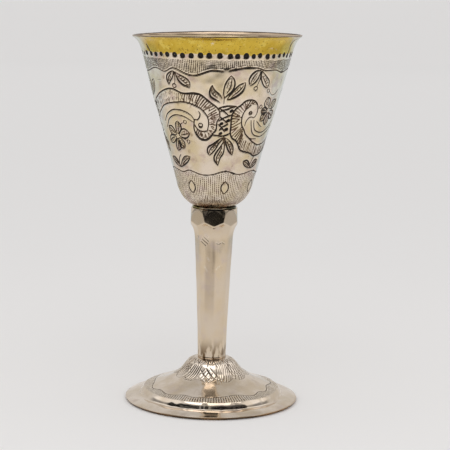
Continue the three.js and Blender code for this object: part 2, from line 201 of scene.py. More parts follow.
def settings(group):
    """The scene's values of one group."""
    return getattr(bpy.context.scene, "chalice_" + group)


# Curves and noise

def smooth_line(points, spacing, scale=(1.0, 1.0)):
    """Catmull-Rom curve through the points, sampled at even steps of its length.
    scale turns a step of each coordinate into millimetres."""
    points = np.asarray(points, float)
    points = np.vstack([2 * points[:1] - points[1:2], points, 2 * points[-1:] - points[-2:-1]])
    a, b, c, d = (points[k:len(points) - 3 + k, None] for k in range(4))
    t = np.linspace(0, 1, 16, endpoint=False)[None, :, None]
    fine = b + 0.5 * t * (c - a + t * (2 * a - 5 * b + 4 * c - d + t * (3 * b - a - 3 * c + d)))
    fine = np.vstack([fine.reshape(-1, 2), c[-1]])
    length = lengths_along(fine * scale)
    return points_at(fine, length, np.linspace(0, length[-1], max(int(length[-1] / spacing), 2) + 1))


def lengths_along(line):
    """Lengths along a line, from its start to each of its points."""
    return np.concatenate([[0], np.cumsum(np.hypot(*np.diff(line, axis=0).T))])


def points_at(line, along, places):
    """Points at places of a line, where along gives the place of each point that it has."""
    return np.column_stack([np.interp(places, along, line[:, k]) for k in (0, 1)])


def wave_around(points):
    """A border's height as a function of degrees, closed around the piece, one value for each quarter degree."""
    first = points[0]
    closed = [*points, (first[0] + 360, first[1])]
    line = smooth_line(closed, 0.1, scale=(0.35, 1.0))
    degrees = np.arange(-180, 180.1, 0.25)
    return degrees, np.interp(degrees, line[:, 0], line[:, 1])


def ripple(points, size, seed):
    """Sum of plane waves of about one length, in millimetres, that run in random directions."""
    chance = np.random.default_rng(seed)
    count = 18
    directions = chance.normal(size=(3, count))
    directions /= np.linalg.norm(directions, axis=0)
    waves = directions * 2 * math.pi / (size * chance.uniform(0.7, 1.5, count))
    return np.cos(points @ waves + chance.uniform(0, 2 * math.pi, count)).sum(-1) / math.sqrt(count)


def smoothstep(low, high, value):
    """0 under low, 1 over high, and smooth between."""
    share = np.clip((value - low) / (high - low), 0, 1)
    return share * share * (3 - 2 * share)


# Engraving

class Engraving:
    """The field of cuts on a turned wall: at each point, how deep it lies inside a cut, in millimetres.
    Columns are degrees around, and rows are lengths along the profile with their radius."""

    OUTSIDE = -0.6

    def __init__(self, along, radius, columns):
        self.along, self.radius, self.columns = along, radius, columns
        self.pitch = 360 / columns
        self.degrees = np.arange(columns) * self.pitch - 180
        self.field = np.full((len(along), columns), self.OUTSIDE)

    def cut(self, line, width, taper=0.0, cap=9.0):
        """Cuts a line of degrees and lengths. Inside it the field is half the width less the distance to the line.
        taper narrows its ends by that share, and a taper under zero narrows only the last end. cap is the most that
        the field reaches, so that a light stroke stays shallow and brown."""
        share = np.linspace(0, 1, len(line))
        if taper < 0:
            half = 0.5 * width * (1 + taper * share)
        else:
            half = 0.5 * width * (1 - taper + taper * np.sin(math.pi * share) ** 0.6)
        for start in range(0, len(line) - 1, 6):
            self._cut_piece(line[start:start + 7], half[start:start + 7], cap)

    def _cut_piece(self, line, half, cap):
        reach = half.max() - self.OUTSIDE * 0.5
        low = np.searchsorted(self.along, line[:, 1].min() - reach)
        high = np.searchsorted(self.along, line[:, 1].max() + reach)
        if low >= high:
            return
        radius = self.radius[low:high, None, None]
        picked = self._columns(line[:, 0].min(), line[:, 0].max(), reach / max(radius.min(), 1.0))
        x = np.radians(picked * self.pitch - 180 - line[:, 0][:, None]).T[None] * radius
        y = np.broadcast_to(self.along[low:high, None, None] - line[:, 1], x.shape)
        run_x, run_y = x[..., :-1] - x[..., 1:], y[..., :-1] - y[..., 1:]
        t = np.clip((x[..., :-1] * run_x + y[..., :-1] * run_y) / (run_x ** 2 + run_y ** 2 + 1e-9), 0, 1)
        distance = np.hypot(x[..., :-1] - t * run_x, y[..., :-1] - t * run_y)
        value = np.minimum((half[:-1] + t * (half[1:] - half[:-1]) - distance).max(-1), cap)
        self._deepen(low, high, picked, value)

    def _columns(self, low, high, margin):
        """Numbers of the columns from low to high degrees, and further on both sides by a margin in radians."""
        side = math.degrees(margin)
        first = math.floor((low - side + 180) / self.pitch)
        return np.arange(first, math.ceil((high + side + 180) / self.pitch) + 1)

    def _deepen(self, low, high, picked, value):
        """Lays a value over the rows from low to high in the picked columns, where it is deeper."""
        window = np.ix_(np.arange(low, high), picked % self.columns)
        self.field[window] = np.maximum(self.field[window], value)

    def punch(self, degrees, along, radius, hollow):
        """The ring that a punch leaves. hollow is the radius of its middle."""
        reach = radius + 0.5
        low, high = np.searchsorted(self.along, [along - reach, along + reach])
        picked = self._columns(degrees, degrees, reach / self.radius[low:high].min())
        x = np.radians(picked * self.pitch - 180 - degrees)[None] * self.radius[low:high, None]
        distance = np.hypot(x, self.along[low:high, None] - along)
        self._deepen(low, high, picked, np.minimum(radius - distance, distance - hollow))

    def dashes(self, region, pitch, rows, length, width, seed):
        """Columns of short upright dashes wherever region is positive: pitch is degrees from column to column,
        and rows is millimetres from dash to dash."""
        chance = np.random.default_rng(seed)
        count = round(360 / pitch)
        column = np.round(self.degrees / pitch).astype(int)
        offset = chance.uniform(0, rows, count)[column % count]
        weight = chance.uniform(0.88, 1.06, count)[column % count]
        x = np.radians(self.degrees - column * pitch)[None] * self.radius[:, None]
        place = (self.along[:, None] + offset) / rows
        y = (place - np.round(place)) * rows
        jitter = 0.92 + 0.14 * ripple(np.stack([np.round(place), column + 0 * place, 0 * place], -1), 2.3, seed)
        value = 0.5 * width * weight * jitter - np.hypot(x, np.maximum(np.abs(y) - length / 2, 0))
        self.field = np.maximum(self.field, np.where(region > 0, value, self.OUTSIDE))


# Meshes

def write_mesh(name, points, faces, attributes=None):
    """A mesh object from points in millimetres and lists of faces. A face's corners run anticlockwise from outside."""
    mesh = bpy.data.meshes.new(name)
    corners = np.concatenate([part.ravel() for part in faces])
    sizes = np.concatenate([np.full(len(part), part.shape[1]) for part in faces])
    mesh.vertices.add(len(points))
    mesh.vertices.foreach_set("co", (points * MM).astype(np.float32).ravel())
    mesh.loops.add(len(corners))
    mesh.loops.foreach_set("vertex_index", corners.astype(np.int32))
    mesh.polygons.add(len(sizes))
    mesh.polygons.foreach_set("loop_start", (np.cumsum(sizes) - sizes).astype(np.int32))
    mesh.polygons.foreach_set("use_smooth", np.ones(len(sizes), bool))
    for label, values in (attributes or {}).items():
        mesh.attributes.new(label, "FLOAT", "POINT").data.foreach_set("value", values.astype(np.float32))
    mesh.update(calc_edges=True)
    mesh.validate()
    piece = bpy.data.objects.new(name, mesh)
    bpy.context.scene.collection.objects.link(piece)
    return piece


def ring_points(radius, height, columns):
    """Rings of points about Z, one for each radius and height. Radius may be rows by columns."""
    turn = np.radians(np.arange(columns) * 360 / columns - 180)
    radius = np.asarray(radius, float)
    radius = radius if radius.ndim == 2 else radius[:, None] * np.ones(columns)
    height = np.asarray(height, float)
    height = height if height.ndim == 2 else height[:, None] * np.ones(columns)
    return np.stack([radius * np.sin(turn), -radius * np.cos(turn), height], -1)


def join_rings(parts):
    """Points and faces of one closed skin. parts are rows of rings from the lowest pole of the outside to the last
    pole, and a part may have fewer columns than the one before by a whole number of times, or more."""
    points, faces = [], []
    base, before = 0, None
    for part in parts:
        rows, columns = part.shape[:2]
        index = base + np.arange(rows * columns).reshape(rows, columns)
        following = np.roll(index, -1, axis=1)
        if columns > 1:
            quads = np.stack([index[:-1], following[:-1], following[1:], index[1:]], -1)
            faces.append(quads.reshape(-1, 4))
        if before is not None:
            faces.extend(stitch(before, index[0]))
        points.append(part.reshape(-1, 3))
        base += rows * columns
        before = index[-1]
    return np.vstack(points), faces


def stitch(lower, upper):
    """Faces between two rings whose counts are whole multiples of each other. A ring of one point is a pole."""
    if len(lower) < len(upper):
        return [face[:, ::-1] for face in stitch(upper, lower)]
    after = np.roll(lower, -1)
    if len(upper) == 1:
        return [np.stack([lower, after, np.full(len(lower), upper[0])], -1)]
    times = len(lower) // len(upper)
    if times == 1:
        return [np.stack([lower, after, np.roll(upper, -1), upper], -1)]
    middle = times // 2
    near = np.repeat(upper, times)
    far = np.repeat(np.roll(upper, -1), times)
    step = np.tile(np.arange(times), len(upper))
    fans = np.stack([lower, after, np.where(step < middle, near, far)], -1)
    bridge = np.stack([lower[middle::times], np.roll(upper, -1), upper], -1)
    return [fans, bridge]


def pole(height):
    """A ring of one point on the axis."""
    return np.array([[[0.0, 0.0, height]]])


def moved_rings(line, normal, shift):
    """Rings of an engraved wall, each point moved along the profile's normal by its shift."""
    return ring_points(line[:, :1] + normal[:, :1] * shift, line[:, 1:] + normal[:, 1:] * shift, AROUND)


def normals_of(line):
    """Outward normals of a profile of radius and height, to the right of its direction."""
    tangent = np.gradient(line, axis=0)
    tangent /= np.linalg.norm(tangent, axis=1)[:, None]
    return np.column_stack([tangent[:, 1], -tangent[:, 0]])


def dress(piece, node, material):
    """Gives a finished piece its material and its body, and hides the node of the frame that it stands for."""
    piece.data.materials.append(material)
    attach(piece, "root")
    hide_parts(node)


# Motifs of the cup's pattern. Points are degrees and heights, and a line is what Engraving.cut takes

def curve(points, width, taper=0.35, spacing=0.5):
    """A smooth line through the points."""
    return smooth_line(points, spacing, scale=(AT, 1.0)), width, taper


def leaf(base, tip, width, belly=0.5, bend=0.0, at=AT):
    """Outline, vein and shading of a pointed leaf, as lines with their widths.
    at is millimetres for a degree where the leaf lies, and bend bows it to the left of its direction."""
    base, tip = (np.array([p[0] * at, p[1]]) for p in (base, tip))
    run = tip - base
    side = np.array([-run[1], run[0]]) / np.hypot(*run)
    share = np.linspace(0, 1, 15)
    bulge = np.sin(0.5 * math.pi * np.where(share < belly, share / belly, (1 - share) / (1 - belly))) ** 0.85
    spine = base + share[:, None] * run + (bend * np.sin(math.pi * share))[:, None] * side
    left, right = (spine + (way * 0.5 * width * bulge)[:, None] * side for way in (1, -1))
    return dressed_leaf(left / (at, 1.0), right / (at, 1.0), at)


def dressed_leaf(left, right, at=AT):
    """A leaf from its two sides, each from base to tip: bold outline, two veins, and hatching between them."""
    left, right = (smooth_line(side, 0.25, scale=(at, 1.0)) for side in (left, right))
    left, right = (matched(side, 16) for side in (left, right))
    lines = [(left, 0.42, 0.6), (right, 0.52, 0.6), ((0.4 * left + 0.6 * right)[3:14], 0.36, 0.7),
             ((0.72 * left + 0.28 * right)[6:12], 0.2, 0.6)]
    for k in range(4, 13, 2):
        stroke = [0.45 * left[k] + 0.55 * right[k], 0.75 * left[k + 1] + 0.25 * right[k + 1]]
        lines.append((np.array(stroke), 0.2, 0.2, 0.0))
    return lines


def matched(line, count):
    """The line with count points at even steps of its own."""
    return points_at(line, np.linspace(0, 1, len(line)), np.linspace(0, 1, count))


def berry(degrees, height, radius, width):
    """A small round outline."""
    turn = np.linspace(0, 2 * math.pi, 13)
    circle = np.column_stack([degrees + radius / AT * np.cos(turn), height + radius * np.sin(turn)])
    return curve(circle, width, 0.0, 0.3)


def hatch_band(outer, inner, spacing, start, stop, seed):
    """Strokes across a band between two lines that run the same way."""
    chance = np.random.default_rng(seed)
    outer = smooth_line(outer, spacing, scale=(AT, 1.0))
    matching = matched(smooth_line(inner, 0.2, scale=(AT, 1.0)), len(outer))
    near = chance.uniform(start - 0.05, start + 0.1, len(outer))[:, None]
    far = chance.uniform(stop - 0.25, stop + 0.08, len(outer))[:, None]
    sway = chance.uniform(-0.35, 0.35, (len(outer), 2)) * (1 / AT, 1.0)
    return np.stack([outer + near * (matching - outer), outer + far * (matching - outer) + sway], 1)


def scroll_bay():
    """Everything between one basket and the next but one: two scrolls, their flowers, leaves and berries."""
    # Scroll that arches over a flower, left of the front
    arch_outer = [
        (-79, 105.5), (-72, 107.9), (-66, 109.0), (-60, 110.2), (-52, 111.4), (-44, 112.2), (-38, 111.9), (-33, 111.1),
        (-28, 110.8), (-20, 111.1), (-14, 110.7), (-9, 109.3), (-4.2, 107.8), (0.6, 106.4), (3.2, 104.9), (3.7, 103.3),
    ]
    arch_under = [
        (3.2, 102.6), (1.4, 101.6), (0.7, 100.4), (0.4, 98.8), (-2.5, 97.4), (-6, 95.9), (-9, 95.2), (-13, 95.0),
        (-17.5, 95.6), (-21, 97.0), (-22.7, 98.6), (-22.2, 100.4), (-21.2, 102),
    ]
    arch_inner = [
        (-77, 101.5), (-71, 103.2), (-65, 104.3), (-58, 105.9), (-50, 106.9), (-40, 107.5), (-30, 107.8), (-22, 107.2),
        (-15, 106.0), (-10, 104.2), (-7.4, 102.0), (-7.4, 100.0), (-8.6, 98.2),
    ]
    arch_end = [(-7.6, 101.6), (-7.6, 99.4), (-9, 98.0), (-15, 98.0), (-18.5, 98.5)]
    # Scroll that cradles a flower, right of the front
    cradle_outer = [
        (42.3, 104.2), (42.2, 105.8), (40, 107.5), (36, 108.6), (31, 108.9), (26.5, 108.5), (23, 107.2), (19.5, 106.3),
        (16.5, 104.9), (15, 103), (15.2, 100), (15.3, 97.6), (17.5, 95.8), (22.5, 94.7), (26, 93.2), (29, 91.6),
        (34, 90.8), (40, 90.4), (46, 89.9), (52, 89.0), (60, 89.0), (68, 89.6), (76, 90.7), (84, 92.4),
    ]
    cradle_inner = [
        (33.5, 107.0), (29, 105.7), (26.4, 104), (25.8, 102), (27, 100), (30.5, 98.4), (33, 97.0), (38, 95.7),
        (44, 94.3), (50, 93.4), (56, 92.8), (63, 93.0), (70, 93.5), (78, 94.6), (84, 96.0),
    ]
    lines = [curve(points, width) for width, points in (
        (0.5, arch_outer), (0.48, arch_under), (0.42, arch_inner), (0.5, cradle_outer), (0.44, cradle_inner),
        (0.4, [(-8.6, 98.2), (-12, 97.9), (-16, 98.0), (-19.5, 98.8), (-21.6, 100.2)]),
        (0.4, [(-21.3, 102), (-18, 101.9), (-15.6, 103.1), (-15.3, 104.2), (-16.8, 104.9)]),
        (0.4, [(-62, 100.6), (-56, 102.8), (-50, 104.1), (-44, 104.9), (-37, 105.0), (-31, 104.6), (-26.5, 103.9),
               (-23.3, 102.9), (-21.6, 101.6)]),
        (0.4, [(-61, 98.4), (-55, 101.0), (-50, 102.2), (-44, 103.0), (-38, 103.1), (-32, 102.7), (-27, 101.8),
               (-22.4, 100.9)]),
        (0.4, [(-16.6, 99.7), (-15.4, 99.4), (-14.4, 99.6)]),
        (0.34, [(30.3, 99.8), (31, 101.4), (33.5, 102.7), (36.5, 102.9), (39.5, 102.7), (41.6, 103.6), (42.3, 104.6)]),
        (0.4, [(36.8, 101.8), (38.5, 99.8), (41, 97.8), (45, 96.5), (50, 96.0), (56, 95.8), (62, 96.2), (70, 97.5),
               (78, 99.2)]),
        (0.4, [(40.6, 101.8), (42, 99.9), (44.5, 98.4), (49, 97.6), (55, 97.2), (61, 97.5), (70, 99.0), (78, 100.9)]),
        (0.34, [(36, 95.9), (42, 95.2), (50, 95.1)]), (0.34, [(44, 101.5), (48, 100.4), (52, 99.5), (55, 99.2)]),
        (0.4, [(33.6, 104.3), (35.1, 104.2)]),
    )]
    lines += [berry(-15.4, 100.0, 0.75, 0.3), berry(34.3, 104.3, 0.62, 0.34)]

    # Strokes across the scrolls, each: two sides, spacing, shares where they start and stop, seed, and width
    for outer, inner, *style, width in (
            (arch_outer[8:], arch_inner[6:11], 0.86, 0.12, 0.92, 3, 0.44),
            (arch_outer[:9], arch_inner[:7], 0.8, 0.14, 0.52, 4, 0.3),
            (arch_outer[:9], arch_inner[:7], 0.85, 0.58, 0.95, 5, 0.3),
            (arch_outer[9:], arch_inner[7:11], 1.9, 0.5, 0.95, 9, 0.34),
            (arch_under[:10], arch_end, 0.85, 0.2, 0.85, 6, 0.36),
            (cradle_outer[2:15], cradle_inner[:6], 1.05, 0.08, 0.9, 7, 0.46),
            (cradle_outer[14:], cradle_inner[5:], 0.8, 0.1, 0.9, 8, 0.34)):
        chance = np.random.default_rng(len(lines))
        lines.extend((pair, width * chance.uniform(0.65, 1.25), -0.3, chance.uniform(-0.02, 0.05))
                     for pair in hatch_band(outer, inner, *style))

    # Flowers under the arch and in the cradle, each: heart, and petals as tip, width and bow
    for heart, petals in (
            ((-45.5, 95.6), (((-28.6, 97), 3.3, 0.3), ((-41.5, 101), 2.9, -0.3), ((-57.5, 98.9), 2.9, 0.2),
                             ((-62, 93.4), 2.7, -0.2), ((-50, 90.4), 3.0, 0.3), ((-37.6, 91.6), 3.1, -0.3))),
            ((58.5, 104.8), (((46.6, 104.9), 2.5, 0.1), ((49.4, 101.2), 2.6, -0.2), ((60, 99.6), 2.9, 0.2),
                             ((72, 102.2), 2.8, 0.1), ((68.5, 108.6), 2.8, -0.1), ((51.5, 109.6), 3.0, 0.3)))):
        for tip, width, bend in petals:
            lines += leaf([0.86 * a + 0.14 * b for a, b in zip(heart, tip)], tip, width, 0.6, bend)
    # Leaf pairs that hang from the upper border
    for left, right in (
            ([(-36.3, 118.3), (-38, 116.3), (-41, 114.8), (-43.5, 113.4)],
             [(-36.5, 118.4), (-40, 117.9), (-43.7, 116.8), (-45, 115.2), (-43.5, 113.4)]),
            ([(-35.3, 118.1), (-31, 117.1), (-27, 116.4), (-23.8, 115.5), (-22.3, 114.3), (-22.9, 112.9)],
             [(-35.3, 118.0), (-33, 115.5), (-29, 113.9), (-25.3, 113.4), (-22.9, 112.9)]),
            ([(37, 118.7), (35.5, 116.5), (32.5, 114.8), (29.3, 113.9)],
             [(37, 118.9), (33, 118.9), (29, 117.7), (27.2, 116), (28, 114.4), (29.3, 113.9)]),
            ([(38.2, 118.8), (41.5, 117.7), (45.5, 116.4), (48.7, 115.3), (49.2, 114), (47.8, 112.7)],
             [(38.2, 118.6), (38.4, 116.5), (41, 114.6), (44.5, 113.3), (47.8, 112.7)])):
        lines += dressed_leaf(left, right, 0.4)
    # Leaf pairs that stand on the lower border
    for stem, right, left in (((-51, 84.6), (-31.8, 88.8), (-66.5, 87.9)), ((52, 84.6), (66, 87.2), (36.8, 87.2))):
        lines += [*leaf(stem, right, 2.2, 0.62, 0.3), *leaf(stem, left, 2.1, 0.62, -0.3)]
    # Tendrils, and the berries that most of them bear
    lines += [curve(points, width) for width, points in (
        (0.26, [(-40, 98.9), (-38, 100), (-35.4, 100.5), (-34, 100.6)]),
        (0.26, [(-40, 95.1), (-36, 94.8), (-33.2, 94.3)]), (0.26, [(52, 105.2), (49, 105.4), (47.3, 106)]),
        (0.26, [(59.8, 110.2), (56, 110.4), (52.4, 111.6)]), (0.3, [(59.8, 110.2), (63, 110.7), (67, 112)]),
        (0.3, [(-35.8, 118.3), (-36, 115.7), (-36.7, 114.3)]), (0.3, [(37.6, 118.7), (37.4, 116.1), (35.8, 113.9)]),
        (0.3, [(-52.5, 85.8), (-50.4, 87.8), (-46.5, 89.2)]), (0.3, [(50.5, 85.8), (52.6, 87.8), (56.5, 89.2)]),
    )]
    lines += [berry(*spot) for spot in (
        (-32.1, 100.9, 0.62, 0.26), (-31.3, 94, 0.62, 0.26), (45.3, 106.4, 0.6, 0.26), (50.4, 111.9, 0.6, 0.26),
        (-37.7, 113.3, 0.68, 0.3), (34.8, 112.9, 0.68, 0.3))]
    return lines


def basket():
    """A lattice basket with three leaves above it and three below, with its middle at 0 degrees."""
    # Rim and bottom, the lattice as two families of leaning lines, and two stalks
    lines = [curve(points, width, taper) for width, taper, points in (
        (0.46, 0.35, [(-5.2, 106.25), (1.8, 106.85), (10.9, 106.75)]),
        (0.44, 0.35, [(-3.8, 104.9), (-2.7, 105.4), (0.1, 105.55), (4.2, 106.05), (10.4, 106.65)]),
        (0.48, 0.35, [(-10.1, 96.75), (-2.2, 96.4), (1.5, 96.6), (6.9, 97.35)]),
        (0.43, 0.3, [(-4.8, 106.0), (-1.0, 105.15), (4.2, 103.5)]),
        (0.43, 0.3, [(-5.2, 101.7), (-1.9, 102.45), (3.7, 103.45), (7.2, 103.85)]),
        (0.43, 0.3, [(-4.7, 103.35), (-1.9, 102.45), (2.9, 101.05)]),
        (0.43, 0.3, [(-4.5, 98.4), (-2.2, 99.4), (0.7, 100.0), (4.0, 100.7)]),
        (0.43, 0.3, [(-5.8, 100.5), (-2.2, 99.4), (1.1, 97.95)]),
        (0.26, 0.35, [(-1.2, 107.6), (-1.1, 110.0)]), (0.26, 0.35, [(0.5, 96.6), (0.7, 94.2)]),
    )]
    for degrees, height in ((6.3, 105.2), (3.9, 101.85), (-2.5, 100.75), (2.7, 98.85), (-3, 97.3)):
        lines.append(curve([(degrees - 0.5, height - 0.1), (degrees + 0.6, height + 0.1)], 0.92, 0.0))
    # Leaves above, then below
    for at, sides, style in (
            (0.39, (((-3.0, 109.4), (-5, 110.8), (-8, 111.8), (-10.2, 112.8), (-11.3, 114.0)),
                    ((-4.5, 107.9), (-7, 108.7), (-10.5, 109.5), (-13, 110.3), (-13.8, 111.6), (-12.8, 113.0),
                     (-11.3, 114.0)),
                    ((-1.1, 109.7), (-1.9, 111.6), (-1.1, 114), (1, 115.9), (3.6, 117.3)),
                    ((-0.9, 109.7), (2.4, 110.9), (5.6, 112.2), (7.1, 114), (6.4, 115.9), (3.6, 117.3))),
             ((1.3, 109.0), (16.4, 114.9), 2.5, 0.66, -0.35)),
            (0.31, (((0.2, 95.5), (-4.6, 93.8), (-7.5, 92), (-11, 90.7), (-14.7, 89.5)),
                    ((0.2, 95.8), (-4, 95.2), (-8, 94.2), (-12, 93.3), (-15.6, 92.7), (-17.2, 91.6), (-16.8, 90.5),
                     (-14.7, 89.5)),
                    ((1.2, 94.6), (2.1, 92.4), (1.3, 90.4), (-1.6, 89), (-3.2, 87.6), (-4.6, 86.0)),
                    ((1.0, 94.5), (-3, 92.3), (-7, 90.6), (-9.2, 89.2), (-9.2, 88), (-7, 87), (-4.6, 86.0))),
             ((1.8, 95.9), (12.2, 89.7), 2.1, 0.6, 0.35))):
        lines += [*dressed_leaf(*sides[:2], at), *dressed_leaf(*sides[2:], at), *leaf(*style, at)]
    return lines


def turned(lines, degrees):
    """The same lines further around the cup."""
    return [(line + (degrees, 0.0), *style) for line, *style in lines]


def cup_lines():
    """Every line of the cup's pattern, twice around: the bay with two scrolls and two baskets, and its repeat."""
    bay = [*scroll_bay(), *turned(basket(), 8), *turned(basket(), 98)]
    return [*bay, *turned(bay, 180)]


# The pieces

class CHALICE_OT_cup(bpy.types.Operator):
    """Builds the engraved and gilded cup"""

    bl_idname = "chalice.cup"
    bl_label = "Cup"

    def execute(self, context):
        values = settings("cup")
        wall, floor, depth = values.wall / MM, values.floor / MM, values.cut_depth / MM
        outline = np.array(CUP_WALL)
        outline[:, 0] *= (LIP_RADIUS - 0.3) / outline[-1, 0]
        outline[:, 1] += CUP_BOTTOM
        outline = smooth_line(outline, 0.1)
        length = lengths_along(outline)
        # Rows lie close together under the engraving and further apart in the gilt band
        fine_end = np.interp(CUP_TOP - 5.0, outline[:, 1], length)
        rows = np.concatenate([np.arange(0, fine_end, CUP_PITCH), np.linspace(fine_end, length[-1], 11)])
        line = points_at(outline, length, rows)
        along, normal = lengths_along(line), normals_of(line)

        carving = Engraving(along, line[:, 0], AROUND)
        level = lambda heights: np.interp(heights, line[:, 1], along)
        # Scratches and stains that use has left, in the terms of the pattern's lines
        marks = [
            ([(-62.5, 127.4), (-61.2, 126), (-59.8, 124.2)], 1.0, 0.4, 0.06),
            ([(71, 129), (68.6, 128.4), (67.4, 127), (67.8, 125.4), (66.6, 123.8)], 0.7, 0.5, 0.05),
            ([(70, 117.4), (69.2, 115), (69.8, 112)], 0.3, 0.6, 0.0), ([(-58, 114.8), (-53, 115.1)], 0.9, 0.7, -0.02)]
        for points, *style in [*cup_lines(), *marks]:
            degrees, heights = np.transpose(points)
            carving.cut(np.column_stack([degrees, level(heights)]), *style)
        borders = {}
        for border, points, width in (("upper", UPPER_WAVE, 0.36), ("lower", LOWER_WAVE, 0.34)):
            degrees, heights = wave_around(points)
            wave = np.column_stack([degrees, level(heights)])
            # The graver skipped beside the basket, and bit deeper in places
            skip = 5.5 if border == "upper" else 400.0
            carving.cut(wave[degrees <= skip][::4], width)
            carving.cut(wave[degrees >= skip + 4.5][::4], width)
            for first, last in ((11, 18), (19, 31), (60, 70), (132, 150), (-128, -112)):
                carving.cut(wave[(degrees > first) & (degrees < last)][::4], width + 0.2, 0.8)
            borders[border] = np.interp(carving.degrees, degrees, heights)
        seam = np.maximum(0.08 * np.cos(np.radians(carving.degrees - 40)) - 0.03, -0.05)
        carving.field[line[:, 1] < CUP_BOTTOM + 0.3] = seam
        height = line[:, 1][:, None]
        above = np.minimum(height - borders["upper"] - 0.5, GILT_EDGE - height)
        below = np.minimum(borders["lower"] - 0.5 - height, height - CUP_BOTTOM - 1.0)
        carving.dashes(above, 1.5, 0.78, 0.38, 0.3, 21)
        carving.dashes(below, 3.0, 0.74, 0.2, 0.27, 22)
        # Almonds are left bare in the lower dashes
        for k in range(7):
            self.almond(carving, -36.3 + k * 360 / 7, level(ALMOND_LEVEL))
        chance = np.random.default_rng(5)
        for k in range(values.punches):
            degrees = -179.5 + 360 * k / values.punches
            degrees += 2.2 * math.exp(-((degrees - 8) / 14) ** 2)  # the spacing drifts near the front
            place = level(PUNCH_LEVEL + chance.uniform(-0.22, 0.22))
            carving.punch(degrees + chance.uniform(-0.5, 0.5), place, chance.uniform(0.78, 1.02), 0.12)

        # The wall with its ripples and cuts
        smooth = ring_points(line[:, 0], line[:, 1], AROUND)
        shift = values.ripple / MM * (ripple(smooth, 9.0, 1) + 0.4 * ripple(smooth, 3.5, 2))
        shift -= depth * smoothstep(-0.12, 0.26, carving.field)
        outside = moved_rings(line, normal, shift)
        outside[0, :, 2] = CUP_BOTTOM
        lip = line[-1] + np.array([(0.08, 0.1), (0.12, 0.24), (0.12, 0.42), (0.04, 0.54), (-0.12, 0.58), (-0.26, 0.5),
                                   (-0.3, 0.34), (-0.34, 0.16)])
        lip_rings = ring_points(lip[:, 0], lip[:, 1], AROUND)
        places = np.linspace(length[-1], 0, 44)
        inner = points_at(outline, length, places)
        thickness = LIP_WALL + (wall - LIP_WALL) * smoothstep(0, 4.5, length[-1] - places)
        inner = inner + normals_of(inner) * thickness[:, None]
        inner = inner[(inner[:, 1] > CUP_BOTTOM + floor + 0.5) & (inner[:, 1] < lip[-1, 1] - 0.1)]
        inner_rings = ring_points(inner[:, 0], inner[:, 1], AROUND // COARSE)
        well = np.array([(0.93, 0.35), (0.7, 0.08), (0.35, 0.0)]) * (inner[-1, 0], 1.0) + (0, CUP_BOTTOM + floor)
        well_rings = ring_points(well[:, 0], well[:, 1], AROUND // COARSE)
        hollow = np.concatenate([inner_rings, well_rings])
        # The rim is not quite level, as the hammer left it
        for rings in (outside, lip_rings, hollow):
            turn = np.arctan2(rings[..., 0], -rings[..., 1])
            lift = 0.45 * np.sin(turn) + 0.18 * np.cos(2 * turn) - 0.12
            rings[..., 2] += lift * smoothstep(CUP_TOP - 8, CUP_TOP, rings[..., 2])
        points, faces = join_rings([
            pole(CUP_BOTTOM), np.concatenate([outside, lip_rings]), hollow, pole(CUP_BOTTOM + floor)])
        cut = np.full(len(points), Engraving.OUTSIDE)
        cut[1:1 + carving.field.size] = carving.field.ravel()
        # From 0 outside over the lip's edge to 1 inside, and on by 1 for each 10 mm down
        inside = np.zeros(len(points))
        start = 1 + carving.field.size
        inside[start:] = 1.0
        inside[start:start + lip_rings[..., 0].size] = np.repeat([0.12, 0.3, 0.5, 0.62, 0.74, 0.84, 0.94, 1.0], AROUND)
        drop = (lip[-1, 1] - np.concatenate([inner[:, 1], well[:, 1]])) / 10
        inside[start + lip_rings[..., 0].size:-1] += np.repeat(drop, AROUND // COARSE)
        piece = write_mesh("engraved_cup", points, faces, {"cut": cut, "inside": inside})
        dress(piece, "bowl", gilded_silver())
        return {"FINISHED"}

    @staticmethod
    def almond(carving, degrees, along):
        """An upright almond outline, with no dashes inside it."""
        broad, tall = 1.35, 2.3  # half its width and height
        share = np.linspace(-1, 1, 15)
        half = broad * (1 - share ** 2)
        radius = np.interp(along, carving.along, carving.radius)
        x = np.radians((carving.degrees - degrees + 180) % 360 - 180)[None] * carving.radius[:, None]
        y = (carving.along[:, None] - along) / tall
        inside = (np.abs(y) < 1) & (np.abs(x) < broad * (1 - y ** 2))
        carving.field[inside] = carving.OUTSIDE
        for side in (-1, 1):
            line = np.column_stack([degrees + side * np.degrees(half / radius), along + tall * share])
            carving.cut(line, 0.36, 0.3)


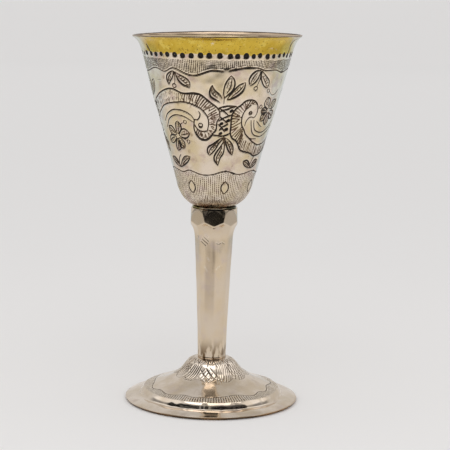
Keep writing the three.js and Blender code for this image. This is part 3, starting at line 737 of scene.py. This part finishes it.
class CHALICE_OT_stem(bpy.types.Operator):
    """Builds the faceted stem and its knop"""

    bl_idname = "chalice.stem"
    bl_label = "Stem"

    def execute(self, context):
        values = settings("stem")
        crease = STEM_TOP - 11.8
        heights = np.unique(np.concatenate([
            np.arange(STEM_BOTTOM, crease - 3, 0.8), np.arange(crease - 3, STEM_TOP - 0.5, 0.2),
            STEM_TOP - np.array([0.3, 0.15, 0.05, 0.0])]))
        degrees = np.arange(STEM_AROUND) * 360 / STEM_AROUND - 180
        height = heights[:, None]
        share = (height - STEM_BOTTOM) / (crease - STEM_BOTTOM)
        over = (values.base_radius + (values.crease_radius - values.base_radius) * share ** 1.25) / MM
        above = np.clip(height - crease, 0, None)
        over = np.where(height > crease, values.crease_radius / MM + 0.05 * above + 0.0068 * above ** 3, over)
        barrel = np.maximum(height, STEM_TOP - 7.7) - (STEM_TOP - 3.95)
        barrel = KNOP_RADIUS + 0.63 - np.where(barrel > 0, 0.042, 0.056) * barrel ** 2
        # Distance to each flat seen from the axis, and the nearest of all. The column's arrises are worn softer
        away = np.radians((degrees[:, None] - 22.5 - 45 * np.arange(8) + 180) % 360 - 180)
        reach = over[..., None] * math.cos(math.pi / 8) / np.maximum(np.cos(away), 0.05)
        column = self.soft_least(reach, 0.24)
        away = np.radians((degrees[:, None] - 45 * np.arange(8) + 180) % 360 - 180)
        reach = (values.facet / MM / np.maximum(np.cos(away), 0.05)).min(-1) * np.ones_like(column)
        radius = self.soft_least(np.stack([column, reach, barrel * np.ones_like(column)], -1), values.softness / MM)
        smooth = ring_points(radius, heights, STEM_AROUND)
        shift = 0.03 * ripple(smooth * (1, 1, 0.35), 5.0, 11) + 0.012 * ripple(smooth * (1, 1, 0.3), 1.6, 12)
        carving = Engraving(heights, radius.mean(1), STEM_AROUND)
        for turn, place, run, rise, width in self.scratches():
            carving.cut(np.array([(turn, crease + place), (turn + run, crease + place + rise)]), width, 0.5)
        shift -= 0.12 * smoothstep(-0.1, 0.2, carving.field)
        # Black in the seam under the plate, most of it in front
        seam = 0.16 * smoothstep(0.9, 0.97, np.cos(np.radians(degrees - 3))) + 0.13 * np.exp(-((degrees - 44) / 6) ** 2)
        carving.field[heights > STEM_TOP - 0.4] = seam - 0.06
        outside = ring_points(radius + shift, heights, STEM_AROUND)
        outside[-2:, :, :2] *= np.array([0.99, 0.95])[:, None, None]
        outside[0, :, 2], outside[-1, :, 2] = STEM_BOTTOM, STEM_TOP
        bore = ring_points([BORE_RADIUS] * 2, [STEM_TOP, STEM_BOTTOM], STEM_AROUND // 4)
        points, faces = join_rings([outside, bore])
        last = len(points) - STEM_AROUND // 4 + np.arange(STEM_AROUND // 4)
        faces.extend(stitch(last, np.arange(STEM_AROUND)))
        cut = np.full(len(points), Engraving.OUTSIDE)
        cut[:carving.field.size] = carving.field.ravel()
        piece = write_mesh("faceted_stem", points, faces, {"cut": cut})
        dress(piece, "stem", cast_silver())
        return {"FINISHED"}

    @staticmethod
    def soft_least(values, soft):
        """The least of the last axis, with the corner between two nearly equal values rounded."""
        least = values.min(-1, keepdims=True)
        return least[..., 0] - soft * np.log(np.exp((least - values) / soft).sum(-1))

    @staticmethod
    def scratches():
        """File slips around the crease: degrees, height from the crease, run in degrees, rise, and width."""
        seen = [(-42, 0.4, 17, -1.5, 0.24), (-38, 1.2, 19, -1.6, 0.26), (-33, 2.0, 17, -1.5, 0.24),
                (-27, 2.7, 9, -0.8, 0.14), (-60, 2.2, 6, -0.9, 0.4), (8, 0.0, 7, -0.5, 0.12), (16, -0.5, 8, 0.4, 0.12),
                (27, 0.2, 8, -0.6, 0.1), (-22, -5.2, 9, -1.5, 0.12), (-31, -8.8, 10, -1.6, 0.12),
                (10, -9.5, 14, 1.2, 0.1)]
        chance = np.random.default_rng(17)
        hidden = [(turn, *chance.uniform((-1, -8, -1.5, 0.14), (1.5, 12, 0.4, 0.26))) for turn in range(70, 300, 14)]
        return seen + hidden


class CHALICE_OT_plate(bpy.types.Operator):
    """Builds the thin plate between the stem and the cup"""

    bl_idname = "chalice.plate"
    bl_label = "Plate"

    def execute(self, context):
        # A thin bead of solder between two dark seams. Each row: radius, height, depth in a seam
        edge = PLATE_RADIUS
        profile = np.array([
            (4.0, PLATE_BOTTOM, 0.1), (edge - 0.5, PLATE_BOTTOM, 0.1), (edge - 0.1, PLATE_BOTTOM + 0.06, 0.1),
            (edge + 0.12, PLATE_BOTTOM + 0.18, -0.2), (edge + 0.26, PLATE_BOTTOM + 0.34, -0.5),
            (edge + 0.18, PLATE_BOTTOM + 0.5, -0.5), (edge - 0.12, PLATE_TOP - 0.02, -0.3),
            (edge - 0.4, PLATE_TOP, 0.0), (4.0, PLATE_TOP, 0.1)])
        rings = ring_points(profile[:, 0], profile[:, 1], PLATE_AROUND)
        wave = ripple(rings[4], 3.2, 31)
        rings[1:-1, :, :2] *= 1 + 0.01 * wave[:, None]
        rings[3:6, :, 2] += 0.06 * ripple(rings[4], 2.0, 32)
        points, faces = join_rings([pole(PLATE_BOTTOM), rings, pole(PLATE_TOP)])
        cut = np.concatenate([[0.1], np.repeat(profile[:, 2], PLATE_AROUND), [0.1]])
        piece = write_mesh("collar_disc", points, faces, {"cut": cut})
        dress(piece, "collar_plate", sheet_silver())
        return {"FINISHED"}


class CHALICE_OT_foot(bpy.types.Operator):
    """Builds the domed and engraved foot"""

    bl_idname = "chalice.foot"
    bl_label = "Foot"

    def execute(self, context):
        values = settings("foot")
        sheet, depth = values.sheet / MM, values.cut_depth / MM
        outline = np.array(FOOT_WALL)
        outline[:, 0] *= np.where(outline[:, 0] > 10, (FOOT_RADIUS - 0.2) / outline[-1, 0], 1)
        outline[:, 1] += FOOT_BOTTOM
        outline = smooth_line(outline[::-1], 0.08)
        length = lengths_along(outline)
        line = points_at(outline, length, np.arange(0, length[-1], FOOT_PITCH))
        along, normal = lengths_along(line), normals_of(line)

        carving = Engraving(along, line[:, 0], AROUND)
        level = lambda radii: np.interp(-np.asarray(radii), -line[:, 0], along)
        degrees, radii = wave_around(FOOT_WAVE)
        carving.cut(np.column_stack([degrees, level(radii)])[::4], 0.26)
        border = np.interp(carving.degrees, degrees, radii)
        radius = line[:, 0][:, None]
        carving.dashes(np.minimum(radius - border - 0.4, 24.0 - radius), 2.25, 0.9, 0.62, 0.26, 41)
        for points, width in self.collar_lines():
            degrees, radii = np.transpose(points)
            carving.cut(np.column_stack([degrees, level(radii)]), width, 0.35)

        smooth = ring_points(line[:, 0], line[:, 1], AROUND)
        bump = values.ripple / MM * (ripple(smooth, 11.0, 43) + 0.35 * ripple(smooth, 4.0, 44))
        bump *= smoothstep(0, 1.5, along)[:, None] * smoothstep(0, 4, along[-1] - along)[:, None]
        # Knocks along the step, as degrees, radius, depth and breadth
        knocks = [(-5, 24.9, 0.3, 0.9), (-31, 25.2, 0.12, 1.6), (21, 25.0, 0.14, 1.3), (47, 24.6, 0.15, 1.2),
                  (9, 25.75, 0.09, 0.5), (-19, 25.75, 0.08, 0.6), (27, 25.75, 0.08, 0.5), (110, 25.0, 0.2, 1.1),
                  (-150, 24.9, 0.2, 1.0), (-62, 24.6, 0.14, 1.5), (172, 25.0, 0.18, 1.4)]
        for degrees, away, deep, broad in knocks:
            spot = (away * math.sin(math.radians(degrees)), -away * math.cos(math.radians(degrees)))
            gap = np.hypot(smooth[..., 0] - spot[0], smooth[..., 1] - spot[1])
            bump -= deep * np.exp(-(gap / broad) ** 2)
        shift = bump - depth * smoothstep(-0.12, 0.24, carving.field)
        outside = moved_rings(line, normal, shift)
        # Upright edge and seat of the rim, then the underside of the sheet up to the stem's bore
        rim = np.array([(-1.7, 0.0), (-0.85, 0.02), (-0.5, 0.34), (-0.16, 0.62), (0.0, 0.78), (-0.02, 0.94)])
        rim += (FOOT_RADIUS, FOOT_BOTTOM)
        rim_rings = ring_points(rim[:, 0], rim[:, 1], AROUND)
        under = points_at(outline, length, np.linspace(length[-1], 0, 40))
        under = under + normals_of(under) * sheet
        under = under[(under[:, 0] < FOOT_RADIUS - 4 * sheet) & (under[:, 0] > 4.6)]
        under = np.vstack([[3.5, FOOT_TOP - sheet], under, [FOOT_RADIUS - 2.7 * sheet, FOOT_BOTTOM]])
        under_rings = ring_points(under[:, 0], under[:, 1], AROUND // COARSE)
        points, faces = join_rings([under_rings, np.concatenate([rim_rings, outside])])
        first = np.arange(AROUND // COARSE)
        last = len(points) - AROUND + np.arange(AROUND)
        faces.extend(stitch(last, first))
        cut = np.full(len(points), Engraving.OUTSIDE)
        cut[-carving.field.size:] = carving.field.ravel()
        # Painted shadow: the seat and undercut under the rim are marked as black cuts, most of it in front and to the
        # right, where the gap under the rim lies in shade
        start = under_rings[..., 0].size
        reach = np.cos(np.radians(carving.degrees - 30))
        rim_gap_shadow = np.array([0.1, 0.1, 0.1, 0.1, 0.04, -0.12])[:, None] + 0.14 * np.minimum(reach[None] - 0.62, 0)
        cut[start:start + rim_gap_shadow.size] = rim_gap_shadow.ravel()
        piece = write_mesh("engraved_foot", points, faces, {"cut": cut})
        dress(piece, "foot", raised_silver())
        return {"FINISHED"}

    @staticmethod
    def collar_lines():
        """Hatching around the steep part of the dome, in groups that change their lean, over a scalloped edge.
        Lines are degrees and radii."""
        lines = []
        chance = np.random.default_rng(8)
        # Each group: first and last degree, inner and outer radius, lean and pitch in degrees, and width
        groups = [
            (-76, -50, 8.6, 12.3, 6, 4.9, 0.25), (-49, -24, 8.8, 12.8, 6, 4.9, 0.27), (9, 22, 8.8, 13.1, 0, 4.2, 0.17),
            (22, 39, 8.4, 12.9, 5, 4.3, 0.18), (41, 72, 8.6, 12.5, 7, 6.6, 0.18), (41, 72, 8.6, 12.5, -8, 6.6, 0.18),
            (74, 90, 8.8, 12.6, -5, 4.6, 0.18), (91, 103, 8.8, 12.6, 5, 4.6, 0.18),
            (-66, -40, 8.4, 10.4, -7, 8.0, 0.15),
        ]
        for start, stop, near, far, lean, pitch, width in groups:
            for degrees in np.arange(start + 1.5, stop - 1, pitch):
                reach = far + 0.8 * math.sin(math.pi * (degrees - start) / (stop - start)) + chance.uniform(-0.2, 0.2)
                line = [(degrees + lean, near + chance.uniform(-0.3, 0.3)), (degrees + 0.2 * lean, (near + reach) / 2),
                        (degrees - lean, reach)]
                lines.append((line, width))
        # A bright lozenge with bold cuts one way and fine ones the other
        for line, width in (([(-11, 9.5), (8, 12.3)], 0.28), ([(-22, 10.0), (0, 12.7)], 0.24),
                            ([(-25, 11.3), (-9, 13.4)], 0.18), ([(-4, 9.2), (14, 11.6)], 0.18),
                            ([(-25, 11.4), (-14, 9.7)], 0.16), ([(-19, 11.9), (-9, 9.7)], 0.14),
                            ([(-14, 12.3), (-4, 9.9)], 0.18), ([(-7, 12.9), (3, 10.5)], 0.18),
                            ([(0, 13.1), (9, 11.1)], 0.16)):
            lines.append((line, width))
        for first, last in ((-78, -50), (-50, -22), (-24, 9), (9, 40), (41, 73), (74, 102)):
            middle = (first + last) / 2
            scallop = [(first, 12.2), (middle - 6, 13.2), (middle, 13.5), (middle + 6, 13.2), (last, 12.2)]
            lines.append((scallop, 0.17))
        for degrees in np.arange(-77, 103, 6.2):
            lean = chance.uniform(-7, 7)
            line = [(degrees - lean, 6.2), (degrees + lean, chance.uniform(7.8, 9.2))]
            lines.append((line, chance.uniform(0.12, 0.34)))
        lines += [([(degrees + 180, radius) for degrees, radius in line], width) for line, width in lines]
        return [(smooth_line(line, 0.4, scale=(0.2, 1.0)), width) for line, width in lines]


# Materials

class Paint:
    """A material while it is being built, whose places are in millimetres. A mask is the product of conditions, and a
    condition is a socket, or a source with the values between which it sets in and the shares at both, which are 0
    and 1 unless given. A source is a socket, or noise as a tuple: size of its blobs, detail, stretch, roughness."""

    def __init__(self, name):
        self.material = bpy.data.materials.new(name)
        self.material.use_nodes = True
        self.tree = self.material.node_tree
        self.tree.nodes.clear()
        self.shader = self.add("BsdfPrincipled").node
        self.output = self.tree.nodes.new("ShaderNodeOutputMaterial").inputs[0]
        self.tree.links.new(self.shader.outputs[0], self.output)
        self.place = self.add("Mapping", {"Vector": self.add("TexCoord", output="Object"), "Scale": (1 / MM,) * 3})
        self.x, self.y, self.z = self.add("SeparateXYZ", [self.place]).node.outputs

    def add(self, kind, inputs=(), output=0, **properties):
        """Adds a node and gives one of its outputs. inputs are values or sockets, in order, or by number or name."""
        node = self.tree.nodes.new("ShaderNode" + kind)
        for key, value in properties.items():
            setattr(node, key, value)
        for key, value in (inputs.items() if isinstance(inputs, dict) else enumerate(inputs)):
            if isinstance(value, bpy.types.NodeSocket):
                self.tree.links.new(value, node.inputs[key])
            else:
                node.inputs[key].default_value = value
        return node.outputs[output]

    def read(self, source):
        """A socket as it is, or the noise that a tuple describes, drawn out along each axis by its stretch."""
        if isinstance(source, bpy.types.NodeSocket):
            return source
        size, detail, stretch, roughness = (*source, *(3.0, (1.0, 1.0, 1.0), 0.55)[len(source) - 1:])
        spread = self.add("Mapping", {"Vector": self.place, "Scale": [1 / s for s in stretch]})
        return self.add(
            "TexNoise", {"Vector": spread, "Scale": 0.5 / size, "Detail": detail, "Roughness": roughness})

    def mask(self, *conditions):
        """Product of the conditions, and 1 where there is none."""
        share = 1.0
        for condition in conditions:
            if not isinstance(condition, bpy.types.NodeSocket):
                source, low, high, start, end = (*condition, 0.0, 1.0)[:5]
                condition = self.add(
                    "MapRange", (self.read(source), low, high, start, end), interpolation_type="SMOOTHSTEP")
            share = condition if share == 1.0 else self.add("Math", (share, condition), operation="MULTIPLY")
        return share

    def coat(self, under, *coats, blend="MIX"):
        """Colour of under with coats over it, each a paint and the conditions of its mask. A paint is a hex colour,
        linear red, green and blue, or a socket."""
        for paint, *conditions in coats:
            under, paint = (linear(tone) if isinstance(tone, str) else tone if isinstance(tone, bpy.types.NodeSocket)
                            else (*tone, 1.0)[:4] for tone in (under, paint))
            under = self.add("Mix", {0: self.mask(*conditions), 6: under, 7: paint}, 2, data_type="RGBA",
                             blend_type=blend)
        return under


class WornSilver(Paint):
    """Hand-worked silver: tarnish in soft patches, hairline scratches from years of polishing, and in the cuts, which
    the polishing cloth never reached, brown sulphide where they are shallow and black where they are deep, with a
    painted highlight along them where a raised burr would catch the light. polish is the least and most roughness."""

    def __init__(self, name, base, patches, polish):
        super().__init__(name)
        self.cut = self.add("Attribute", output="Fac", attribute_name="cut")
        self.sulphide = self.coat("#5E452F", (settings("finish").oxide, (self.cut, -0.02, 0.1)))
        dark = self.mask((self.cut, -0.09, 0.05))
        # The near-white coat beside the cuts is a painted highlight, where a raised burr would catch the light
        self.colour = self.coat(
            base, (patches[0], ((5.0, 4.0), 0.38, 0.66)), (patches[1], ((2.2, 5.0), 0.5, 0.72)),
            ("#FFF9EE", (self.cut, -0.36, -0.2, 0.0, 0.35), (self.cut, -0.16, -0.07, 1.0, 0.0)), (self.sulphide, dark))
        scratches = self.add("Math", [self.mask(((size, 1.0, stretch), low, low + 0.12)) for size, stretch, low in (
            (0.16, (1.0, 1.0, 26.0), 0.6), (0.14, (30.0, 30.0, 1.0), 0.62))], operation="MAXIMUM")
        roughness = self.mask(((3.0, 4.0), 0.3, 0.7, *polish))
        for share, rough in ((scratches, 0.06), (dark, 0.3)):
            roughness = self.add("Math", (share, rough, roughness), operation="MULTIPLY_ADD")
        height = self.add("Math", (scratches, -0.8, self.read((0.35, 2.0))), operation="MULTIPLY_ADD")
        bump = self.add("Bump", {"Strength": 0.2, "Distance": 0.01 * MM, "Height": height})
        metal = self.mask((self.cut, -0.04, 0.08, 1.0, 0.4))
        for socket, value in (("Metallic", metal), ("Roughness", roughness), ("Normal", bump)):
            self.tree.links.new(value, self.shader.inputs[socket])

    def finished(self, colour):
        """Feeds the last colour to the shader, and gives the material."""
        self.tree.links.new(colour, self.shader.inputs["Base Color"])
        return self.material


def gilded_silver():
    """Parcel-gilt silver: warm cream silver, with fire gilding under the lip, worn through at its lower edge."""
    finish = settings("finish")
    silver = WornSilver("parcel_gilt_silver", finish.cup_silver, ("#E8D6B0", "#DAC3B7"), (0.14, 0.24))
    colour = silver.coat(silver.colour, ("#A08468", ((1.3, 4.0), 0.56, 0.7, 0.0, 0.55), ((6.0, 2.0), 0.44, 0.58)))
    # Greyer towards the bottom of the cup: fully below 84 mm, fading out by 112 mm
    colour = silver.coat(colour, ((0.87, 0.87, 0.88), (silver.z, 84.0, 112.0, 1.0, 0.0)), blend="MULTIPLY")
    # The gilt band is ragged below, thin at both sides, and rubbed off the lip
    inside = silver.add("Attribute", output="Fac", attribute_name="inside")
    edge, side, lip, brink = (
        silver.add("Math", (silver.read(source), share, value), operation="MULTIPLY_ADD") for source, share, value in (
            ((1.6, 5.0), -2.6, silver.z), ((1.6, 5.0), 2.08, silver.x), ((1.5, 3.0), 0.4, inside),
            ((2.5, 3.0), 0.9, inside)))
    gilt = silver.coat(
        finish.gilding, ("#D1B040", ((1.6, 5.0), 0.38, 0.66)), ("#E6CC62", ((1.4, 4.0), 0.55, 0.66)),
        ("#7E5E24", ((0.3, 4.0), 0.6, 0.68)))
    band = silver.mask(
        (edge, CUP_TOP - 7.3, CUP_TOP - 6.8), ((1.3, 6.0, (1.0, 1.0, 1.0), 0.7), 0.62, 0.74, 1.0, 0.15),
        (lip, 0.3, 0.5, 1.0, 0.0), (side, -25.5, -22.0, 0.1, 1.0), (side, 25.6, 28.0, 1.0, 0.2))
    # Inside, from the edge down: pinkish cream, a broken brown line, and cream
    cream = silver.coat(
        "#D9C6A4", ("#CDB9A2", (silver.z, CUP_TOP - 1.15, CUP_TOP - 0.75)),
        ("#6B5138", (silver.z, CUP_TOP - 1.15, CUP_TOP - 0.95), (silver.z, CUP_TOP - 0.85, CUP_TOP - 0.65, 1.0, 0.0),
         ((2.6, 4.0), 0.42, 0.56, 0.0, 0.8)))
    # Last come a wavy brown line around the top of the lip, a painted dark reflection along its far edge, the cuts, and
    # a broken red-brown band that is strongest just above the plate
    colour = silver.coat(
        colour, (gilt, band), (cream, (inside, 0.6, 0.8)),
        ("#6E5436", (brink, 0.67, 0.87, 0.0, 0.85), (brink, 1.07, 1.31, 1.0, 0.0)),
        # Painted reflection: the back half of the lip is darkened where its edge would mirror the dark opening in front
        ("#55473F", (silver.y, -4.0, 4.0), ((3.0,), 0.35, 0.6, 0.5, 0.95), (inside, 0.5, 0.6),
         (inside, 0.96, 1.0, 1.0, 0.0)),
        (silver.sulphide, (silver.cut, -0.09, 0.03)),
        ("#7A4A30", (silver.z, CUP_BOTTOM + 0.6, CUP_BOTTOM + 2.6, 0.75, 0.0), ((1.1, 3.0), 0.42, 0.58)))
    return silver.finished(colour)


def cast_silver():
    """Cast silver, filed into facets and polished: fine lengthwise file lines, brown stains at the foot end."""
    silver = WornSilver("cast_silver", settings("finish").stem_silver, ("#DCCAAF", "#D6C6B8"), (0.07, 0.13))
    colour = silver.coat(silver.colour, ("#6E573C", ((0.9, 3.0, (1.0, 1.0, 3.0)), 0.44, 0.6),
                                         (silver.z, STEM_BOTTOM + 0.2, STEM_BOTTOM + 8.5, 1.0, 0.0)))
    # Painted reflection: a darker streak beside the front arris, where the arris would mirror the dimmer floor in front
    # of the stem
    side = silver.add("Math", (silver.read((2.0, 2.0, (1.0, 1.0, 5.0))), 0.8, silver.x), operation="MULTIPLY_ADD")
    painted_dark_reflection = ((0.80, 0.79, 0.80), (side, -3.0, -1.8), (side, 0.5, 1.3, 1.0, 0.0), (silver.z, 27.0, 40.0),
              (silver.z, 56.0, 60.0, 1.0, 0.0))
    return silver.finished(silver.coat(colour, painted_dark_reflection, blend="MULTIPLY"))


def sheet_silver():
    """Sheet silver with greenish tarnish at its soldered edge: yellow-green at the left, dark green at the right."""
    silver = WornSilver("plate_silver", settings("finish").stem_silver, ("#E0D6C0", "#B9AE86"), (0.15, 0.3))
    return silver.finished(silver.coat(
        silver.colour, ("#8F8F4A", (silver.x, -5.6, -4.4, 0.8, 0.0)), ("#3F4A36", (silver.x, 3.6, 4.6, 0.0, 0.9))))


def raised_silver():
    """Sheet silver raised over a stake and polished: greyer and sharper than the cup, brown under its rim."""
    silver = WornSilver("raised_silver", settings("finish").foot_silver, ("#D6C7B2", "#D2C4B8"), (0.06, 0.13))
    return silver.finished(silver.coat(
        silver.colour, ("#9C7648", (silver.z, 0.75, 1.2, 1.0, 0.0), ((9.0, 2.0), 0.4, 0.6, 0.35, 0.95))))


def paper(colour):
    """Matt white paper."""
    sheet = Paint("paper")
    for socket, value in (("Base Color", (*colour, 1.0)), ("Roughness", 0.95), ("Specular IOR Level", 0.1)):
        sheet.shader.inputs[socket].default_value = value
    return sheet.material


def tent_cloth():
    """White cloth as the metal sees it: bright behind, dimmer at the sides, a lamp above, a dark opening in front."""
    cloth = Paint("tent_cloth")
    way = cloth.add("VectorMath", [cloth.place], operation="NORMALIZE")
    rise = cloth.add("SeparateXYZ", [way], "Z")
    flat = cloth.add("VectorMath", (cloth.place, (1.0, 1.0, 0.0)), operation="MULTIPLY")
    flat = cloth.add("VectorMath", [flat], operation="NORMALIZE")
    turn = cloth.add("SeparateXYZ", [flat], "X")
    front = cloth.add("VectorMath", (flat, (-0.105, -0.995, 0.0)), "Value", operation="DOT_PRODUCT")
    # Darker things stand low at the sides of the opening, and something pale in its middle
    opening = cloth.add("Math", (
        cloth.mask((front, 0.34, 0.42), (rise, 0.66, 0.885, 1.0, 0.0)),
        cloth.mask((front, -0.5, -0.2), (rise, 0.3, 0.45, 0.6, 0.0))), operation="MAXIMUM")
    aside = cloth.add("Math", [cloth.add("Math", (turn, 0.1))], operation="ABSOLUTE")
    pale = cloth.mask((aside, 0.08, 0.2, 1.0, 0.0), (rise, 0.25, 0.5), (front, 0.0, 0.3, 0.0, 0.5))
    things = cloth.add("TexNoise", {"Vector": way, "Scale": 4.167, "Detail": 2.0, "Roughness": 0.55})
    dark = cloth.mask(opening, cloth.add("Math", (1.0, pale), operation="SUBTRACT"), (things, 0.42, 0.6, 0.98, 0.82))
    # Two white boards hang high at the left and right
    board = cloth.mask((cloth.add("Math", [turn], operation="ABSOLUTE"), 0.78, 0.92), (rise, 0.4, 0.55),
                       (rise, 0.8, 0.9, 1.0, 0.0))
    lamp = cloth.mask((rise, 0.872, 0.885), (front, 0.0, 0.4), (rise, 0.98, 0.995, 1.0, 0.0))
    light = cloth.mask((rise, 0.55, 0.85, cloth.mask((front, -0.75, 0.3, 0.7, 0.6)), 0.58))
    for share, more in ((board, 0.4), (lamp, 1.3)):
        light = cloth.add("Math", (share, more, light), operation="MULTIPLY_ADD")
    light = cloth.mask(light, cloth.add("Math", (1.0, dark), operation="SUBTRACT"))
    for socket, value in (("Base Color", (0, 0, 0, 1)), ("Specular IOR Level", 0.0),
                          ("Emission Color", linear("#FFFBF6"))):
        cloth.shader.inputs[socket].default_value = value
    cloth.tree.links.new(light, cloth.shader.inputs["Emission Strength"])
    return cloth.material


def table_shade():
    """Shade over the far floor as the metal sees it: the paper ends before the dark opening, and dims sideways.
    Cooler, brighter daylight falls on the floor far behind, which the flared sides of the cup mirror."""
    shade = Paint("table_shade")
    distance = shade.add("VectorMath", [shade.place], "Value", operation="LENGTH")
    far = shade.mask((shade.y, 50.0, 160.0), (distance, 240.0, 360.0))
    side = shade.add("Math", (shade.mask((distance, 150.0, 400.0, 1.0, 0.72)), far), operation="MAXIMUM")
    cool = shade.coat((1.0, 0.98, 0.95), ((0.83, 0.93, 1.0), far))
    cool = shade.coat(cool, (shade.mask(side, (shade.y, -370.0, -150.0, 0.03, 1.0)),), blend="MULTIPLY")
    shade.tree.nodes.remove(shade.shader)
    shade.tree.links.new(shade.add("BsdfTransparent", [cool]), shade.output)
    return shade.material


class CHALICE_OT_stage(bpy.types.Operator):
    """Sets the pale floor, the even studio light and the camera"""

    bl_idname = "chalice.stage"
    bl_label = "Stage"

    def execute(self, context):
        values = settings("stage")
        scene = context.scene
        self.sheet_of("floor", FLOOR_REACH, 0.0, paper(values.floor_colour))
        # What the metal mirrors beyond the paper: a tent with a dark opening, and the table outside it
        turn, rise = np.meshgrid(np.radians(np.arange(0, 360, 7.5)), np.radians(np.arange(-6, 91, 8)))
        dome = np.stack([np.cos(rise) * np.cos(turn), np.cos(rise) * np.sin(turn), np.sin(rise)], -1)
        points, faces = join_rings([dome * TENT_RADIUS / MM])
        tent = write_mesh("tent", points, faces)
        tent.data.materials.append(tent_cloth())
        table = self.sheet_of("table", TABLE_REACH, 0.3 * MM, table_shade())
        for card in (tent, table):
            card.visible_camera = card.visible_diffuse = card.visible_shadow = False
            card.visible_transmission = card.visible_volume_scatter = False

        data = bpy.data.lights.new("overhead", "AREA")
        data.size, data.energy = 0.4, 0.47
        lamp = bpy.data.objects.new("overhead", data)
        lamp.matrix_world = Matrix.Translation((0, -0.33, 0.5))
        lamp.visible_glossy = False
        scene.collection.objects.link(lamp)

        world = bpy.data.worlds.new("even_light")
        scene.world = world
        world.use_nodes = True
        background = world.node_tree.nodes["Background"]
        background.inputs["Color"].default_value = linear("#FAFAFA")
        background.inputs["Strength"].default_value = values.light

        data = bpy.data.cameras.new("camera")
        data.lens, data.sensor_width = values.lens, 36.0
        data.shift_x = 11 / 450  # the chalice stands 11 pixels left of the middle
        camera = bpy.data.objects.new("camera", data)
        camera.matrix_world = (
            Matrix.Translation((0, -0.55387, 0.14802))
            @ Matrix.Rotation(math.radians(81.267), 4, "X") @ Matrix.Rotation(math.radians(1.04), 4, "Z"))
        scene.collection.objects.link(camera)
        scene.camera = camera
        scene.view_settings.view_transform = "Standard"
        return {"FINISHED"}

    @staticmethod
    def sheet_of(name, reach, level, material):
        """A flat square of the stage."""
        mesh = bpy.data.meshes.new(name)
        mesh.from_pydata([(x * reach, y * reach, level) for x, y in ((-1, -1), (1, -1), (1, 1), (-1, 1))], [],
                         [(0, 1, 2, 3)])
        mesh.materials.append(material)
        sheet = bpy.data.objects.new(name, mesh)
        bpy.context.scene.collection.objects.link(sheet)
        return sheet


class CHALICE_PT_panel(bpy.types.Panel):
    """Sizes, colours and the steps that build the chalice"""

    bl_idname = "CHALICE_PT_panel"
    bl_label = "Chalice"
    bl_space_type = "VIEW_3D"
    bl_region_type = "UI"
    bl_category = "Chalice"

    def draw(self, context):
        layout = self.layout
        for group, kind in SETTINGS.items():
            box = layout.box()
            box.label(text=kind.__doc__)
            for name in kind.__annotations__:
                box.prop(settings(group), name)
        for operator in STEPS:
            layout.operator(operator.bl_idname)


STEPS = (CHALICE_OT_stage, CHALICE_OT_foot, CHALICE_OT_stem, CHALICE_OT_plate, CHALICE_OT_cup)


def register():
    for kind in (*SETTINGS.values(), *STEPS, CHALICE_PT_panel):
        bpy.utils.register_class(kind)
    for group, kind in SETTINGS.items():
        setattr(bpy.types.Scene, "chalice_" + group, PointerProperty(type=kind))


def unregister():
    for group in SETTINGS:
        delattr(bpy.types.Scene, "chalice_" + group)
    for kind in (CHALICE_PT_panel, *STEPS[::-1], *SETTINGS.values()):
        bpy.utils.unregister_class(kind)


def main():
    """Builds every piece and the stage."""
    register()
    for operator in STEPS:
        space, name = operator.bl_idname.split(".")
        getattr(getattr(bpy.ops, space), name)()


if __name__ == "__main__":
    main()
